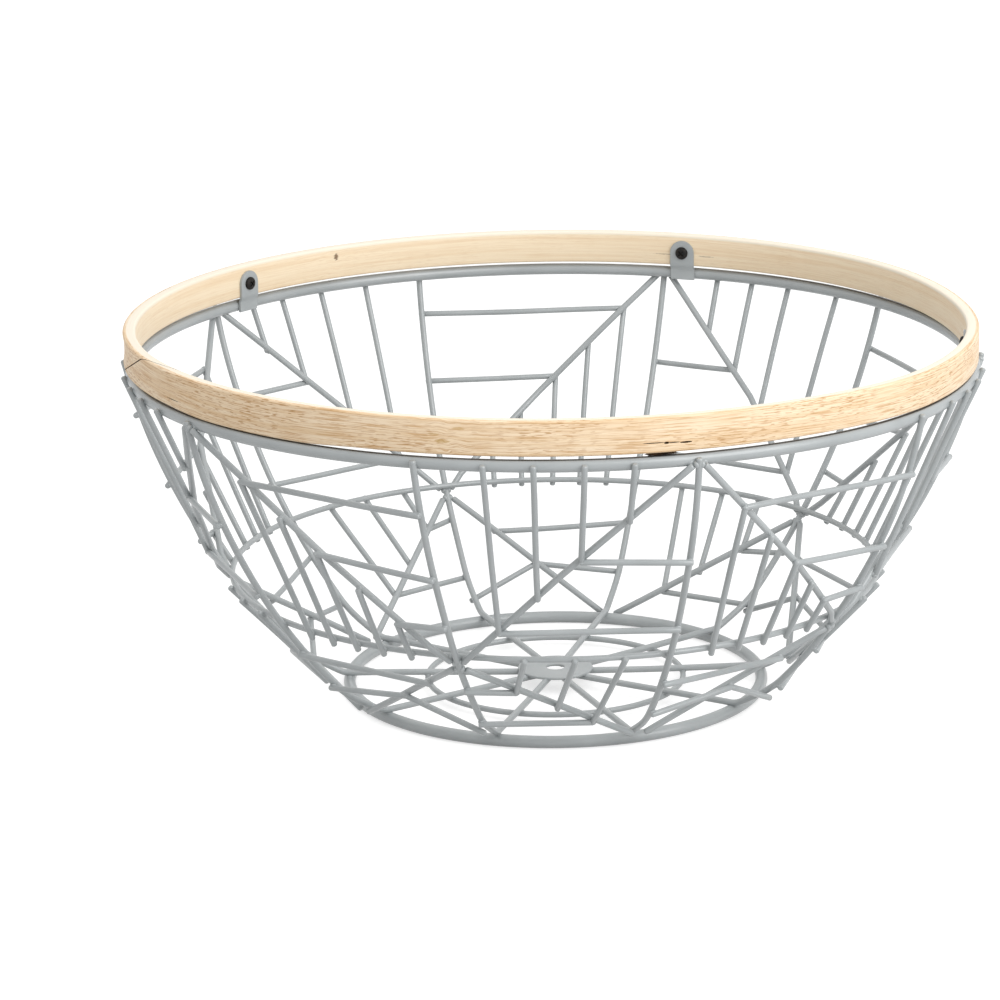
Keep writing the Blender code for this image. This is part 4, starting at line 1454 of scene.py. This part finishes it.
# %% Table floor
FLOOR_EDGE = 3.0
FLOOR_COLOUR = (0.50, 0.50, 0.50, 1.0)
FLOOR_ROUGHNESS = 0.9
FLOOR_GLOW = 0.64
WHITE = (1, 1, 1, 1)


def white_for_the_eye(tree):
    """1 for rays that come straight from the camera, a mirror or a glass, else 0."""
    rays = add_node(tree, "ShaderNodeLightPath").outputs
    seen = math_node(tree, "MAXIMUM", rays["Is Camera Ray"], rays["Is Glossy Ray"])
    return math_node(tree, "MAXIMUM", seen, rays["Is Transmission Ray"])


floor_mesh = bpy.data.meshes.new("floor")
signs = ((-1, -1), (1, -1), (1, 1), (-1, 1))
floor_mesh.from_pydata([(x * FLOOR_EDGE, y * FLOOR_EDGE, 0) for x, y in signs], [], [(0, 1, 2, 3)])
floor = linked("floor", floor_mesh)
white, tree, shader = start_material("white_floor", roughness=FLOOR_ROUGHNESS)
shader.inputs["Base Color"].default_value = FLOOR_COLOUR
floor_mesh.materials.append(white)
shader.inputs["Emission Color"].default_value = WHITE
glow = times(tree, white_for_the_eye(tree), FLOOR_GLOW)
tree.links.new(glow, shader.inputs["Emission Strength"])
print("floor:", 2 * FLOOR_EDGE, "m wide")

# %% Sky
HORIZON_LIGHT = 0.51
ZENITH_LIGHT = 1.06

world = bpy.data.worlds.new("studio")
bpy.context.scene.world = world
world.use_nodes = True
tree = world.node_tree
heading = add_node(tree, "ShaderNodeTexCoord").outputs["Generated"]
height = add_node(tree, "ShaderNodeSeparateXYZ", {0: heading}).outputs[2]
eye = white_for_the_eye(tree)
others = math_node(tree, "SUBTRACT", 1.0, eye)
sky = times(tree, spread(tree, height, HORIZON_LIGHT, ZENITH_LIGHT), others)
back = tree.nodes["Background"]
back.inputs["Color"].default_value = WHITE
tree.links.new(plus(tree, sky, eye), back.inputs["Strength"])
print("sky from", HORIZON_LIGHT, "at the horizon to", ZENITH_LIGHT, "overhead")

# %% Soft box
KEY_AZIMUTH = 46
KEY_ELEVATION = math.radians(34)
KEY_DISTANCE = 1.3
KEY_SIZE = 0.9
KEY_POWER = 8.8

light = bpy.data.lights.new("key_softbox", "AREA")
light.size = KEY_SIZE
light.energy = KEY_POWER
lamp = linked("key_softbox", light)
level = KEY_DISTANCE * math.cos(KEY_ELEVATION)
lamp.location = polar(KEY_AZIMUTH, level, KEY_DISTANCE * math.sin(KEY_ELEVATION))
lamp.rotation_euler = (-lamp.location).to_track_quat("-Z", "Y").to_euler()
print("light from", KEY_AZIMUTH, "degrees right of the viewer")

# %% [markdown]
# ## The camera
# The photograph was taken with a long lens, from a little above the rim. The lens and the place
# were worked out from the rim's ellipse and the heights of the rings, so the picture is a check on
# every size: if a wire lies off its line there, its place in the pattern is wrong.

# %% Camera
FOCAL_PIXELS = 4345.74
PICTURE_PIXELS = 1000
SENSOR_WIDTH = 36.0
CAMERA_DISTANCE = 1.53509
CAMERA_FOOT = 0.1357
CAMERA_SIGHT = 20.0
CAMERA_ELEVATION = math.radians(12.909)
CAMERA_ROLL = math.radians(-0.751)
CAMERA_YAW = -0.01283
CAMERA_PITCH = CAMERA_ELEVATION + 0.04226

level, fall = math.cos(CAMERA_PITCH), math.sin(CAMERA_PITCH)
forward = Vector((math.sin(CAMERA_YAW) * level, math.cos(CAMERA_YAW) * level, -fall))
right = Vector((math.cos(CAMERA_YAW), -math.sin(CAMERA_YAW), 0))
up = right.cross(forward)
rolled_right = right * math.cos(CAMERA_ROLL) + up * math.sin(CAMERA_ROLL)
rolled_up = up * math.cos(CAMERA_ROLL) - right * math.sin(CAMERA_ROLL)
camera = linked("camera", bpy.data.cameras.new("camera"))
camera.data.sensor_width = SENSOR_WIDTH
camera.data.lens = FOCAL_PIXELS * SENSOR_WIDTH / PICTURE_PIXELS
camera.data.clip_end = CAMERA_SIGHT
turn = Matrix((rolled_right, rolled_up, -forward)).transposed().to_4x4()
above = CAMERA_DISTANCE * math.sin(CAMERA_ELEVATION) + CAMERA_FOOT
place = Vector((0, -CAMERA_DISTANCE * math.cos(CAMERA_ELEVATION), above))
camera.matrix_world = Matrix.Translation(place) @ turn
bpy.context.scene.camera = camera
bpy.context.scene.view_settings.view_transform = "Standard"
print("lens:", round(camera.data.lens, 1), "mm")
